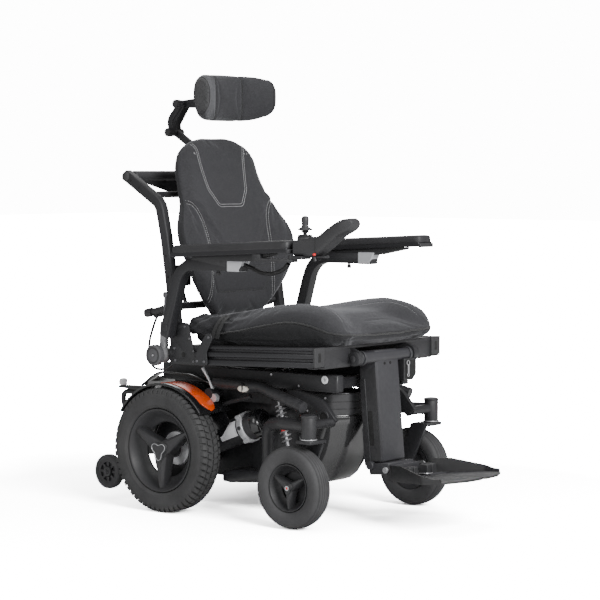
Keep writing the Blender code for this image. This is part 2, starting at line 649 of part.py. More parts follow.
def make_tilt_actuator():
    """The tilt actuator: a round body with its motor, hinged at the rear, and the sliding rod."""
    rear, front = Vector((0, *TILT_BODY)), Vector((0, *TILT_ROD_END))
    along = (front - rear).normalized()
    body = rod("tilt_actuator", "black_metal", rear + along * 0.030, rear + along * 0.190, 0.021,
               sides=20)
    eye = cross_rod("eye", "black_metal", TILT_BODY, -0.0125, 0.0125, 0.012, 16)
    neck = rod("neck", "black_metal", rear + along * 0.007, rear + along * 0.035, 0.009, sides=16)
    start = rear + along * 0.030
    motor = rod("motor", "black_metal", start + Vector((-0.036, 0, 0)),
                start + along * 0.085 + Vector((-0.036, 0, 0)), 0.017)
    combine(body, [eye, neck, motor])
    pin_hole = cross_rod("hole", "black_metal", TILT_BODY, -0.0300, 0.0300, 0.0054, 16)
    bore = rod("bore", "black_metal", rear + along * 0.060, rear + along * 0.220, 0.0105)
    combine(body, [pin_hole, bore], "DIFFERENCE")
    slide = rod("tilt_rod", "silver_metal", rear + along * 0.085, front, 0.0100)
    combine(slide, [cross_rod("eye", "silver_metal", TILT_ROD_END, -0.0120, 0.0120, 0.0120)])


def make_recline_actuator():
    """The recline actuator: a pancake motor on the seat, a tube and the rod up to the cane."""
    low, high = Vector((-0.262, *RECLINE_MOTOR)), Vector((-0.262, *RECLINE_ROD_END))
    along = (high - low).normalized()
    motor = cross_rod("recline_actuator", "silver_metal", RECLINE_MOTOR, -0.302, -0.2545, 0.024, 28)
    body = rod("body", "silver_metal", low, low + along * 0.095, 0.0105)
    combine(motor, [body])
    bore = rod("bore", "silver_metal", low + along * 0.040, low + along * 0.120, 0.0060, sides=16)
    combine(motor, [bore], "DIFFERENCE")
    slide = rod("recline_rod", "silver_metal", low + along * 0.068, high, 0.0055, sides=16)
    combine(slide, [cross_rod("eye", "silver_metal", RECLINE_ROD_END, -0.267, -0.257, 0.0090, 16)])


# ---------------------------------------------------------------- back and headrest

BACK_HALF_WIDTH = [(0.557, 0.105), (0.590, 0.160), (0.640, 0.205), (0.700, 0.236), (0.790, 0.256),
                   (0.830, 0.240), (0.880, 0.200), (0.950, 0.187), (1.008, 0.176), (1.045, 0.145),
                   (1.071, 0.085)]
BACK_FRONT = [(0.557, -0.034), (0.616, -0.044), (0.690, -0.050), (0.800, -0.024), (0.872, -0.002),
              (0.953, 0.024), (1.071, 0.047)]


def back_surface(x_share, z, behind):
    """A point on the curved back: its sides come forwards, most of all at the ribs."""
    wing = blend_between([(0.557, 0.004), (0.690, 0.022), (0.800, 0.034), (0.900, 0.012),
                          (1.071, 0.004)], z)
    x = x_share * blend_between(BACK_HALF_WIDTH, z)
    y = blend_between(BACK_FRONT, z) - wing * x_share ** 2 + behind
    return x, y, z


def make_back():
    """The padded back, the shell behind it and the frame of canes and cross tubes."""
    def pad_shape(u, v, w):
        z = 0.814 + 0.257 * w
        thick = 0.046 - 0.012 * (abs(u) > 0.9) - 0.014 * (abs(w) > 0.9) - 0.010 * (z < 0.70)
        return back_surface(u, z, 0.004 + thick * (v + 1) / 2)

    def shell_shape(u, v, w):
        z = 0.832 + 0.200 * w
        return back_surface(0.80 * u, z, 0.054 + 0.005 * (v + 1) / 2)

    soft_form("back_pad", "seat_fabric", 3, pad_shape)
    soft_form("back_shell", "black_plastic", 2, shell_shape)

    cane_path = rounded([(-0.015, 0.442), (0.037, 0.783), (0.059, 0.880), (0.197, 0.964)], 0.05,
                        steps=3)
    canes = [plate("back_frame", "black_metal", band(cane_path, CANE_DEEP), "YZ",
                   (side * CANE_X, 0, 0), CANE_WIDE, bevel=0.003) for side in (1, -1)]
    push_bar = cross_rod("push_bar", "black_metal", (0.186, 0.957), -0.236, 0.236, 0.0125, 16)
    lower_bar = cross_rod("lower_bar", "black_metal", (0.019, 0.585), -0.232, 0.232, 0.0110, 14)
    upper_bar = cross_rod("upper_bar", "black_metal", (0.092, 0.905), -0.232, 0.232, 0.0095, 14)
    fins = [plate("fin", "black_metal", rounded([(0.010, 0.572), (0.100, 0.549), (0.112, 0.552),
                                                (0.112, 0.564), (0.030, 0.598), (0.010, 0.598)],
                                               0.004, closed=True, steps=2),
                  "YZ", (side * 0.200, 0, 0), 0.014) for side in (1, -1)]
    clamp = block("clamp", "black_metal", (-0.028, 0.086, 0.888), (0.028, 0.142, 0.922), bevel=0.003)
    frame = combine(canes[0], [canes[1], push_bar, lower_bar, upper_bar, clamp] + fins)
    cutters = [cross_rod("pivot_hole", "black_metal", RECLINE_PIVOT, side * 0.20, side * 0.26,
                         0.0074, 16) for side in (1, -1)]
    cutters.append(block("slot", "black_metal", (-0.0134, 0.1136, 0.870), (0.0134, 0.1284, 0.940)))
    combine(frame, cutters, "DIFFERENCE")


def make_headrest():
    """The headrest: a sliding post, a slotted link and a three-part wrap-round pad."""
    post = block("headrest_post", "black_metal", (-0.013, 0.114, 0.780), (0.013, 0.128, 1.040),
                 bevel=0.001)
    bend = rounded([(0.121, 1.030), (0.150, 1.050), HEAD_LOW], 0.03)
    arm = plate("arm", "black_metal", band(bend, 0.020), "YZ", (0, 0, 0), 0.012)
    knuckle = cross_rod("knuckle", "black_metal", HEAD_LOW, -0.006, 0.024, 0.011, 16)
    combine(post, [arm, knuckle])
    path = rounded([HEAD_LOW, (0.226, 1.122), HEAD_HIGH], 0.03)
    link = plate("headrest_link", "black_metal", band(path, 0.020), "YZ", (-0.0125, 0, 0), 0.012)
    ends = [cross_rod("end", "black_metal", centre, -0.0185, -0.0065, 0.0115, 16)
            for centre in (HEAD_LOW, HEAD_HIGH)]
    stop = [cross_rod("knob", "black_metal", HEAD_LOW, -0.034, -0.018, 0.010, 16)]
    combine(link, ends + stop)

    def pad_shape(u, v, w):
        wrap = 0.062 * abs(u) ** 2.2
        x = u * (0.148 - 0.006 * (v < 0))
        thick = 0.050 - 0.010 * (abs(u) > 0.9)
        z = 1.184 + w * (0.064 - 0.012 * (abs(u) > 0.9)) * (0.86 if abs(v) > 0.9 else 1.0)
        return (x, 0.030 - wrap + thick * v / 2 + 0.006, z)

    soft_form("headrest_pad", "seat_fabric", 3, pad_shape)
    boss = plate("headrest_mount", "black_metal", rounded(
        [(0.0640, 1.140), (0.0690, 1.140), (0.0840, 1.158), (0.1830, 1.161), (0.1900, 1.172),
         (0.1820, 1.183), (0.0840, 1.192), (0.0690, 1.214), (0.0640, 1.214)], 0.004, closed=True,
        steps=2), "YZ", (0, 0, 0), 0.012)
    combine(boss, [cross_rod("end", "black_metal", HEAD_HIGH, -0.006, 0.014, 0.0115, 16)])


# ---------------------------------------------------------------- armrests and joystick


def make_armrest(side_name):
    """A swing-back armrest: the bent flat tube, the pad bracket and the pad."""
    side = SIDES[side_name]
    path = rounded([(-0.021, 0.504), (-0.083, 0.7145), (-0.312, 0.7145)], 0.085, steps=8)
    arm = plate(f"arm_tube_{side_name}", "black_metal", band(path, 0.033), "YZ",
                (side * ARM_X, 0, 0), 0.034, bevel=0.006, segments=2)
    bracket = plate("bracket", "black_metal", [(-0.140, 0.726), (-0.140, 0.7355), (-0.420, 0.7500),
                                               (-0.420, 0.7440), (-0.330, 0.726)], "YZ",
                    (side * 0.300, 0, 0), 0.040)
    extras = [bracket]
    if side < 0:
        low_bar = block("bar", "black_metal", (-0.333, -0.512, 0.7290), (-0.307, -0.380, 0.7370))
        joint = block("joint", "black_metal", (-0.333, -0.400, 0.7290), (-0.300, -0.372, 0.7480))
        extras += [low_bar, joint]
    combine(arm, extras)
    bore = cross_rod("bore", "black_metal", ARM_PIVOT, side * 0.27, side * 0.32, 0.0064, 16)
    combine(arm, [bore], "DIFFERENCE")
    slope = math.radians(-3.1)
    block(f"armpad_{side_name}", "pad_foam", (side * 0.300 - 0.034, -0.497, 0.7435),
          (side * 0.300 + 0.034, -0.068, 0.7745), bevel=0.008, turn_x=slope, segments=2)


def make_pod():
    """The joystick pod: a box with a swooping display, its swing bracket, stick and buttons."""
    outline = rounded([(-0.5075, 0.746), (-0.5075, 0.786), (-0.552, 0.793), (-0.588, 0.797),
                       (-0.640, 0.832), (-0.682, 0.847), (-0.700, 0.838), (-0.694, 0.820),
                       (-0.650, 0.800), (-0.616, 0.772), (-0.570, 0.745)], 0.012, closed=True,
                      steps=3)
    pod = plate("joystick_pod", "black_plastic", outline, "YZ", (-0.2965, 0, 0), 0.056, bevel=0.004)
    knuckle = rod("knuckle", "black_plastic", (*POD_PIVOT, 0.7374), (*POD_PIVOT, 0.7460), 0.009)
    arm = block("arm", "black_plastic", (-0.332, -0.545, 0.7374), (-0.290, -0.510, 0.7480))
    strap = block("strap", "black_plastic", (-0.3325, -0.530, 0.7374), (-0.3155, -0.503, 0.7458))
    combine(pod, [knuckle, strap, arm])
    well = rod("well", "black_plastic", (STICK_X, STICK_Y, 0.7600), (STICK_X, STICK_Y, 0.8100), 0.0175)
    slots = [block("slot", "black_plastic", (x - 0.0065, -0.5790, 0.7780), (x + 0.0065, -0.5650, 0.8200))
             for x in (-0.310, -0.284)]
    combine(pod, [well] + slots, "DIFFERENCE")
    rod("joystick_gimbal", "silver_metal", (STICK_X, STICK_Y, 0.7665), (STICK_X, STICK_Y, 0.7735),
        0.0100)
    stick = turned("joystick", "black_plastic", [
        (0.0, 0.076), (0.0050, 0.075), (0.0075, 0.070), (0.0072, 0.050), (0.0055, 0.042),
        (0.0150, 0.034), (0.0150, 0.031), (0.0080, 0.027), (0.0095, 0.023), (0.0060, 0.019),
        (0.0055, 0.0075), (0.0, 0.0075)], (0, 0, 0), 14)
    stick.matrix_world = Matrix.Translation((STICK_X, STICK_Y, 0.7695))
    for name, x in (("power_button", -0.310), ("horn_button", -0.284)):
        block(name, "key_grey", (x - 0.0060, -0.5785, 0.7800), (x + 0.0060, -0.5655, 0.7992),
              bevel=0.001)


# ---------------------------------------------------------------- legrest


def along_leg(distance, forwards=0.0):
    """A (y, z) point at a distance below the legrest hinge, measured along the leaning mast."""
    y = LEG_PIVOT[0] - math.sin(LEG_LEAN) * distance - math.cos(LEG_LEAN) * forwards
    z = LEG_PIVOT[1] - math.cos(LEG_LEAN) * distance + math.sin(LEG_LEAN) * forwards
    return y, z


def leg_box(name, finish, half_width, near, far, back, front, bevel=0.0):
    """A box in the legrest's own directions: distances below the hinge and forwards of it."""
    middle = along_leg((near + far) / 2, (back + front) / 2)
    long, deep = (far - near) / 2, (front - back) / 2
    low = (-half_width, middle[0] - deep, middle[1] - long)
    high = (half_width, middle[0] + deep, middle[1] + long)
    return block(name, finish, low, high, bevel=bevel, turn_x=-LEG_LEAN)


def make_legrest():
    """The centre legrest: a hollow mast on the cross tube and the bar that slides in it."""
    mast = leg_box("legrest_mast", "black_metal", 0.0525, -0.018, 0.292, -0.048, 0.010, bevel=0.004)
    cavity = leg_box("cavity", "black_metal", 0.0405, 0.050, 0.320, -0.036, -0.002)
    bore = cross_rod("bore", "black_metal", LEG_PIVOT, -0.060, 0.060, 0.0116, 24)
    combine(mast, [cavity, bore], "DIFFERENCE")
    slider = leg_box("legrest_slider", "black_metal", 0.0395, 0.120, 0.318, -0.0350, -0.0030)
    foot = leg_box("foot", "black_metal", 0.058, 0.2935, 0.326, -0.036, 0.034, bevel=0.002)
    pin = cross_rod("pin", "black_metal", FOOT_PIVOT, -0.086, 0.086, 0.0045, 12)
    nose = block("nose", "black_metal", (-0.056, -0.652, 0.145), (0.056, -0.620, 0.166))
    combine(slider, [foot, nose, pin])


def make_footplate(side_name):
    """One half of the footplate: floor, splayed side wall, heel lip and hinge block."""
    side = SIDES[side_name]
    hinge = Vector((0, *FOOT_PIVOT))
    floor = rounded([(side * 0.0015, -0.028), (side * 0.098, -0.028), (side * 0.152, -0.170),
                     (side * 0.140, -0.226), (side * 0.070, -0.262), (side * 0.0015, -0.270)], 0.018,
                    closed=True, steps=3)
    name = f"footplate_{side_name}"
    plate_floor = plate(name, "black_plastic", floor, "XY", (0, 0, -0.026), 0.006)
    wall_line = rounded([(side * 0.096, -0.026), (side * 0.148, -0.168), (side * 0.1375, -0.222)],
                        0.03, steps=3)
    wall = plate("wall", "black_plastic", band(wall_line, 0.006), "XY", (0, 0, -0.006), 0.042)
    slope_cut = plate("slope", "black_plastic", [(-0.020, 0.028), (-0.020, 0.060), (-0.300, 0.060),
                                                 (-0.300, -0.020), (-0.200, -0.014)],
                      "YZ", (0, 0, 0), 0.500)
    combine(wall, [slope_cut], "DIFFERENCE")
    low, high = sorted((side * 0.0015, side * 0.096))
    lip = block("lip", "black_plastic", (low, -0.034, -0.029), (high, -0.027, -0.012))
    low, high = sorted((side * 0.0600, side * 0.0820))
    knuckle = cross_rod("knuckle", "black_plastic", (0, 0), low, high, 0.010, 18)
    web = block("web", "black_plastic", (low, -0.050, -0.029), (high, -0.003, 0.004))
    pin_hole = cross_rod("hole", "black_plastic", (0, 0), side * 0.05, side * 0.09, 0.0049, 16)
    combine(plate_floor, [wall, lip, knuckle, web])
    combine(plate_floor, [pin_hole], "DIFFERENCE")
    move = Matrix.Translation(hinge) @ Matrix.Rotation(FOOT_TOE_UP, 4, "X")
    for piece in (plate_floor, wall, lip, knuckle, web, pin_hole, slope_cut):
        piece.matrix_world = move @ piece.matrix_world


# ---------------------------------------------------------------- cables


def smooth_route(points, spacing):
    """Points read at even steps from a smooth curve through a short list of points."""
    knots = [Vector(p) for p in points]
    knots = [knots[0] * 2 - knots[1]] + knots + [knots[-1] * 2 - knots[-2]]
    route = []
    for a, b, c, d in zip(knots, knots[1:], knots[2:], knots[3:]):
        steps = max(2, round((c - b).length / spacing))
        for step in range(steps):
            t = step / steps
            route.append(0.5 * ((2 * b) + (c - a) * t + (2 * a - 5 * b + 4 * c - d) * t ** 2
                                + (3 * b - a - 3 * c + d) * t ** 3))
    route.append(knots[-2])
    return route


JOYSTICK_CABLE = [(-0.322, -0.490, 0.7225), (-0.318, -0.470, 0.7080), (-0.312, -0.430, 0.6960),
                  (-0.306, -0.385, 0.6970), (-0.300, -0.345, 0.7080), (-0.298, -0.316, 0.7180)]
ACTUATOR_CABLE = [(-0.2640, 0.0440, 0.5600), (-0.2740, 0.0500, 0.5300), (-0.2850, 0.0560, 0.4850),
                  (-0.2850, 0.0560, 0.4400), (-0.2840, 0.0380, 0.4120), (-0.2760, 0.0080, 0.4085),
                  (-0.2645, -0.0120, 0.4200)]


def make_cables():
    """The joystick lead under the armrest and the lead that loops round the recline motor."""
    tube("joystick_cable", "cable", smooth_route(JOYSTICK_CABLE, 0.016), 0.0026, 2)
    tube("actuator_cable", "cable", smooth_route(ACTUATOR_CABLE, 0.014), 0.0022, 2)


# ---------------------------------------------------------------- assembly


def moving_bodies():
    """Each moving body: a point on its joint's axis, and its pieces."""
    bodies = {
        "seat": ((0, *TILT_PIVOT), ["seat_frame", "seat_rail_left", "seat_rail_right",
                                    "side_plate_left", "side_plate_right", "seat_cushion"]),
        "tilt_body": ((0, *TILT_BODY), ["tilt_actuator"]),
        "tilt_rod": ((0, *TILT_ROD_END), ["tilt_rod"]),
        "back": ((0, *RECLINE_PIVOT), ["back_frame", "back_shell", "back_pad", "actuator_cable"]),
        "recline_body": ((-0.262, *RECLINE_MOTOR), ["recline_actuator"]),
        "recline_rod": ((-0.262, *RECLINE_ROD_END), ["recline_rod"]),
        "headrest_post": ((0, 0.121, 0.920), ["headrest_post"]),
        "headrest_link": ((0, *HEAD_LOW), ["headrest_link"]),
        "headrest": ((0, *HEAD_HIGH), ["headrest_pad", "headrest_mount"]),
        "arm_left": ((ARM_X, *ARM_PIVOT), ["arm_tube_left", "armpad_left"]),
        "arm_right": ((-ARM_X, *ARM_PIVOT), ["arm_tube_right", "armpad_right", "joystick_cable"]),
        "pod": ((*POD_PIVOT, 0.745), ["joystick_pod"]),
        "gimbal": ((STICK_X, STICK_Y, 0.770), ["joystick_gimbal"]),
        "stick": ((STICK_X, STICK_Y, 0.7705), ["joystick"]),
        "power_button": ((-0.310, -0.572, 0.790), ["power_button"]),
        "horn_button": ((-0.284, -0.572, 0.790), ["horn_button"]),
        "legrest": ((0, *LEG_PIVOT), ["legrest_mast"]),
        "legrest_slider": ((0, *FOOT_PIVOT), ["legrest_slider"]),
    }
    for name, side in SIDES.items():
        bodies[f"drive_wheel_{name}"] = ((side * DRIVE_X, 0, DRIVE_R),
                                         [f"drive_tyre_{name}", f"drive_rim_{name}"])
        bodies[f"caster_{name}"] = ((side * STEM_X, STEM_Y, 0.243), [f"caster_fork_{name}"])
        bodies[f"caster_wheel_{name}"] = ((side * CASTER_X, CASTER_Y, CASTER_R),
                                          [f"caster_tyre_{name}", f"caster_rim_{name}"])
        bodies[f"anti_tip_{name}"] = ((side * ANTI_TIP_X, ANTI_TIP_Y, ANTI_TIP_Z),
                                      [f"anti_tip_wheel_{name}"])
        bodies[f"foot_{name}"] = ((side * 0.071, *FOOT_PIVOT), [f"footplate_{name}"])
    return bodies


def assemble():
    """Every piece hung on the chair's empty, moving pieces by way of an empty on their axis."""
    origin = bpy.data.objects.new("chair_origin", None)
    CHAIR.objects.link(origin)
    origin.location = (0, AXLE_Y, 0)
    pivots = {}
    for body, (point, nodes) in moving_bodies().items():
        pivot = bpy.data.objects.new(f"pivot_{body}", None)
        CHAIR.objects.link(pivot)
        pivot.parent = origin
        pivot.location = point
        pivots.update({node: pivot for node in nodes})
    for obj in [o for o in bpy.data.objects if o.type == "MESH"]:
        pivot = pivots.get(obj.name)
        obj.parent = pivot or origin
        if pivot:
            obj.matrix_basis = Matrix.Translation(-pivot.location) @ obj.matrix_basis


def main():
    make_tray()
    make_batteries()
    make_controller()
    make_front_shell()
    make_rear_cover()
    make_seat_base()
    make_rear_frame()
    for side_name in SIDES:
        make_motor(side_name)
        make_fender(side_name)
        make_upper_link(side_name)
        make_caster_arm(side_name)
        make_drive_wheel(side_name)
        make_caster(side_name)
        make_anti_tip_wheel(side_name)
        make_rail(side_name)
        make_side_plate(side_name)
        make_armrest(side_name)
        make_footplate(side_name)
    make_seat_frame()
    make_cushion()
    make_tilt_actuator()
    make_recline_actuator()
    make_back()
    make_headrest()
    make_pod()
    make_legrest()
    make_cables()
    assemble()


main()
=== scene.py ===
"""Power wheelchair: the finished surfaces, soft goods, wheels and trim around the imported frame.

Places are given from the drive axle (y = 0 there, z = 0 on the floor) and come from the frame.
"""
import json
import math

import bmesh
import bpy
import numpy as np
from mathutils import Matrix, Vector
from mathutils.bvhtree import BVHTree


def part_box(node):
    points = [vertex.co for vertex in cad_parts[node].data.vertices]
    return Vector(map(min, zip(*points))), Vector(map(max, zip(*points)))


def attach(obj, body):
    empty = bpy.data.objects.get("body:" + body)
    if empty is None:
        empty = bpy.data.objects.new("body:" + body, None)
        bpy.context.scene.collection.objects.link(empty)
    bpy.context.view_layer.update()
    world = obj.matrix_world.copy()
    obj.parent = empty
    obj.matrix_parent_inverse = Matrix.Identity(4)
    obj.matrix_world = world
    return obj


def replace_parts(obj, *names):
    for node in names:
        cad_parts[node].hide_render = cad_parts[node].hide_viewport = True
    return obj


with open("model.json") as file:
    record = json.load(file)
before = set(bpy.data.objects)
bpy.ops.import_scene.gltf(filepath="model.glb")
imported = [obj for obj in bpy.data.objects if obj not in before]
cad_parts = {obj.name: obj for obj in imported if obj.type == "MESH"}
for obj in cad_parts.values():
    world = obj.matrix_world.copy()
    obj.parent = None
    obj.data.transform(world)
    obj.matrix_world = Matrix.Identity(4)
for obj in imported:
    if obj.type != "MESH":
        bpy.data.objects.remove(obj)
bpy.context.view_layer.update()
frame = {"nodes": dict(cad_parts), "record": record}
NODES = frame["nodes"]
SIDES = {"left": 1, "right": -1}


def middle(node):
    """The middle of a CAD node's box."""
    low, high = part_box(node)
    return (low + high) / 2


AXLE_Y = middle("drive_tyre_left").y
DRIVE_X, DRIVE_R = middle("drive_tyre_left").x, middle("drive_tyre_left").z
CASTER_X, CASTER_Y = middle("caster_tyre_left").x, middle("caster_tyre_left").y - AXLE_Y
CASTER_R = middle("caster_tyre_left").z
ANTI_TIP = middle("anti_tip_wheel_left")
STEM = Vector((0.281, -0.529, 0))      # caster swivel axis
LEG_PIVOT = Vector((0, -0.570, 0.460))
LEG_LEAN = math.atan2(0.027, 0.294)
SEAT_SLOPE = math.radians(-2.1)
SEAT_MIDDLE = Vector((0, -0.334, 0.463))
ARM_X = 0.294
STICK = Vector((-0.298, -0.530, 0.770))


def at(x, y, z):
    """A point measured from the drive axle, in the row frame."""
    return Vector((x, y + AXLE_Y, z))


def from_axle(place):
    """A row frame place, measured from the drive axle."""
    return Vector(place) - Vector((0, AXLE_Y, 0))


# ---------------------------------------------------------------- materials


class Material:
    """A Principled material with a few helpers for its procedural nodes."""

    def __init__(self, name, roughness, metallic=0.0, **sockets):
        self.material = bpy.data.materials.new(name)
        self.material.use_nodes = True
        self.tree = self.material.node_tree
        self.shader = self.tree.nodes["Principled BSDF"]
        self.shader.inputs["Roughness"].default_value = roughness
        self.shader.inputs["Metallic"].default_value = metallic
        for socket, value in sockets.items():
            self.shader.inputs[socket.replace("_", " ")].default_value = value
        self.place = self.node("ShaderNodeTexCoord").outputs["Object"]
        self.height = None

    def node(self, kind, **inputs):
        made = self.tree.nodes.new(kind)
        for name, value in inputs.items():
            socket = made.inputs[name.replace("_", " ")]
            if isinstance(value, bpy.types.NodeSocket):
                self.tree.links.new(value, socket)
            else:
                socket.default_value = value
        return made

    def stretched(self, x, y, z):
        """The place, scaled by a factor along each axis."""
        made = self.node("ShaderNodeMapping", Vector=self.place)
        made.inputs["Scale"].default_value = (x, y, z)
        return made.outputs["Vector"]

    def noise(self, scale, detail=3.0, place=None, roughness=0.5):
        return self.node("ShaderNodeTexNoise", Vector=place or self.place, Scale=scale,
                         Detail=detail, Roughness=roughness).outputs["Fac"]

    def bands(self, scale, direction, distortion=0.0, place=None):
        made = self.node("ShaderNodeTexWave", Vector=place or self.place, Scale=scale,
                         Distortion=distortion)
        made.bands_direction = direction
        return made.outputs["Fac"]

    def cells(self, scale, feature="F1", place=None):
        made = self.node("ShaderNodeTexVoronoi", Vector=place or self.place, Scale=scale)
        made.feature = feature
        return made.outputs["Distance"]

    def ramp(self, source, *stops):
        """A colour or value from a list of (position, colour) stops."""
        made = self.node("ShaderNodeValToRGB", Fac=source)
        elements = made.color_ramp.elements
        while len(elements) < len(stops):
            elements.new(0.5)
        for element, (position, colour) in zip(elements, stops):
            element.position = position
            shade = colour if isinstance(colour, tuple) else (colour,) * 3
            element.color = (*shade, 1.0)
        return made.outputs["Color"]

    def mixed(self, factor, first, second, blend="MIX"):
        made = self.tree.nodes.new("ShaderNodeMix")
        made.data_type = "RGBA"
        made.blend_type = blend
        for name, value in (("Factor", factor), ("A", first), ("B", second)):
            socket = next(s for s in made.inputs if s.name == name and s.enabled)
            if isinstance(value, bpy.types.NodeSocket):
                self.tree.links.new(value, socket)
            else:
                socket.default_value = (*value, 1.0) if isinstance(value, tuple) else value
        return next(s for s in made.outputs if s.enabled)

    def set(self, name, source):
        self.tree.links.new(source, self.shader.inputs[name])

    def bump(self, source, distance, strength=1.0):
        """One more layer of relief, its height in metres."""
        made = self.node("ShaderNodeBump", Height=source, Distance=distance, Strength=strength)
        if self.height is not None:
            self.tree.links.new(self.height, made.inputs["Normal"])
        self.height = made.outputs["Normal"]
        self.set("Normal", self.height)


def worn(m, colour, scale, spread, edge=0.0, edge_colour=(0.2, 0.2, 0.2)):
    """Base colour with soft blotches and, where asked, paler worn edges."""
    dark = tuple(c * (1 - spread) for c in colour)
    pale = tuple(c * (1 + spread) for c in colour)
    shade = m.ramp(m.noise(scale, 4.0), (0.3, dark), (0.7, pale))
    if edge:
        corner = m.node("ShaderNodeNewGeometry").outputs["Pointiness"]
        worn_edge = m.ramp(corner, (0.53, 0.0), (0.62, edge))
        patchy = m.mixed(1.0, worn_edge, m.ramp(m.noise(90.0), (0.35, 0.2), (0.65, 1.0)), "MULTIPLY")
        shade = m.mixed(patchy, shade, edge_colour)
    m.set("Base Color", shade)


def rough_spots(m, low, high, scale):
    """Patches of a roughness between low and high."""
    m.set("Roughness", m.ramp(m.noise(scale, 3.0), (0.3, low), (0.7, high)))


def powder_coat(name, colour, low=0.42, high=0.55, edge=0.25):
    """Satin black powder coat: fine orange peel and slightly rubbed edges."""
    m = Material(name, 0.48, 0.0, Specular_IOR_Level=0.45, Coat_Weight=0.08, Coat_Roughness=0.35)
    worn(m, colour, 9.0, 0.08, edge, (0.10, 0.10, 0.105))
    rough_spots(m, low, high, 12.0)
    m.bump(m.noise(1400.0, 2.0), 0.00004, 0.35)
    return m.material


def moulded(name, colour, low=0.45, high=0.60, grain=0.00008):
    """Moulded plastic with a fine pebbled grain."""
    m = Material(name, 0.5)
    worn(m, colour, 10.0, 0.08, 0.12, (0.10, 0.10, 0.10))
    rough_spots(m, low, high, 20.0)
    m.bump(m.cells(1500.0), grain, 0.6)
    return m.material


def glossy(name, colour):
    """Polished black plastic with faint dust and swirl marks."""
    m = Material(name, 0.15, 0.0, Coat_Weight=0.6, Coat_Roughness=0.08)
    worn(m, colour, 12.0, 0.25)
    rough_spots(m, 0.10, 0.22, 18.0)
    m.bump(m.noise(9.0), 0.0004, 0.15)
    return m.material


def rubber(name, colour, dust):
    """Tyre rubber: dull, slightly dusty, with a fine moulded skin."""
    m = Material(name, 0.8, 0.0, Specular_IOR_Level=0.3)
    blotch = m.ramp(m.noise(14.0, 5.0), (0.35, colour), (0.75, dust))
    fine = m.ramp(m.noise(420.0, 2.0), (0.3, 0.85), (0.7, 1.0))
    m.set("Base Color", m.mixed(1.0, blotch, fine, "MULTIPLY"))
    rough_spots(m, 0.68, 0.88, 40.0)
    m.bump(m.noise(700.0, 3.0), 0.00012, 0.6)
    return m.material


def knit(name, colour, pale):
    """Dark stretch knit: fine courses across the cloth, little loops and a soft sheen."""
    m = Material(name, 0.9, 0.0, Sheen_Weight=0.30, Sheen_Roughness=0.45,
                 Sheen_Tint=(0.75, 0.76, 0.80, 1.0), Specular_IOR_Level=0.25)
    courses = m.bands(100.0, "Z", 0.6)
    wales = m.bands(240.0, "X", 0.4)
    loops = m.mixed(0.5, courses, wales, "MULTIPLY")
    heather = m.ramp(m.noise(900.0, 2.0, m.stretched(0.25, 0.25, 1.0)), (0.35, colour), (0.75, pale))
    cloud = m.ramp(m.noise(7.0, 3.0), (0.3, 0.86), (0.7, 1.0))
    shade = m.mixed(1.0, heather, cloud, "MULTIPLY")
    m.set("Base Color", m.mixed(m.ramp(loops, (0.1, 0.35), (0.6, 0.0)), shade,
                                tuple(c * 0.55 for c in colour)))
    m.bump(loops, 0.0004, 0.5)
    m.bump(m.noise(60.0), 0.0006, 0.35)
    rough_spots(m, 0.82, 0.95, 50.0)
    return m.material


def spacer_mesh(name, colour):
    """Open spacer mesh: a regular field of little holes, each filled with painted shade."""
    m = Material(name, 0.85, 0.0, Sheen_Weight=0.15, Sheen_Roughness=0.5)
    holes = m.cells(330.0)
    # painted shade: each hole's middle is drawn at a quarter of the cloth's colour, darkest where the
    # bump is lowest
    m.set("Base Color", m.ramp(holes, (0.25, tuple(c * 0.25 for c in colour)), (0.50, colour)))
    m.bump(holes, 0.0008, 0.8)
    return m.material


def skin_foam(name, colour):
    """Integral-skin foam of an arm pad: fine leather-like grain, satin."""
    m = Material(name, 0.55, 0.0, Specular_IOR_Level=0.45)
    worn(m, colour, 18.0, 0.15)
    rough_spots(m, 0.42, 0.58, 30.0)
    m.bump(m.cells(620.0, "DISTANCE_TO_EDGE"), 0.00018, 0.6)
    m.bump(m.noise(45.0), 0.0005, 0.25)
    return m.material


def brushed(name, colour, low=0.24, high=0.38, metallic=1.0, direction=(1.0, 1.0, 30.0)):
    """Brushed or turned metal: long thin streaks."""
    m = Material(name, 0.3, metallic)
    streak = m.noise(260.0, 3.0, m.stretched(*direction))
    m.set("Base Color", m.ramp(streak, (0.25, tuple(c * 0.8 for c in colour)), (0.75, colour)))
    m.set("Roughness", m.ramp(streak, (0.3, low), (0.7, high)))
    m.bump(streak, 0.00004, 0.4)
    return m.material


def lacquer(name, colour, roughness=0.25, spread=0.08, coat=0.5):
    """Smooth painted or printed plastic with a faint unevenness."""
    m = Material(name, roughness, 0.0, Coat_Weight=coat, Coat_Roughness=0.12)
    worn(m, colour, 20.0, spread)
    rough_spots(m, roughness * 0.8, roughness * 1.3, 25.0)
    m.bump(m.noise(300.0), 0.00005, 0.3)
    return m.material


def lens(name, colour, cell=350.0):
    """A prismatic lens, seen as small bright facets."""
    m = Material(name, 0.08, 0.0, Coat_Weight=1.0, Coat_Roughness=0.03)
    facet = m.cells(cell)
    m.set("Base Color", m.ramp(facet, (0.2, tuple(c * 0.7 for c in colour)), (0.6, colour)))
    m.bump(facet, 0.0006, 0.6)
    return m.material


def thread(name, colour):
    """Twisted thread or woven webbing."""
    m = Material(name, 0.75, 0.0, Sheen_Weight=0.2, Sheen_Roughness=0.5)
    twist = m.bands(900.0, "DIAGONAL", 1.0)
    m.set("Base Color", m.ramp(twist, (0.2, tuple(c * 0.6 for c in colour)), (0.8, colour)))
    m.bump(twist, 0.0002, 0.6)
    return m.material


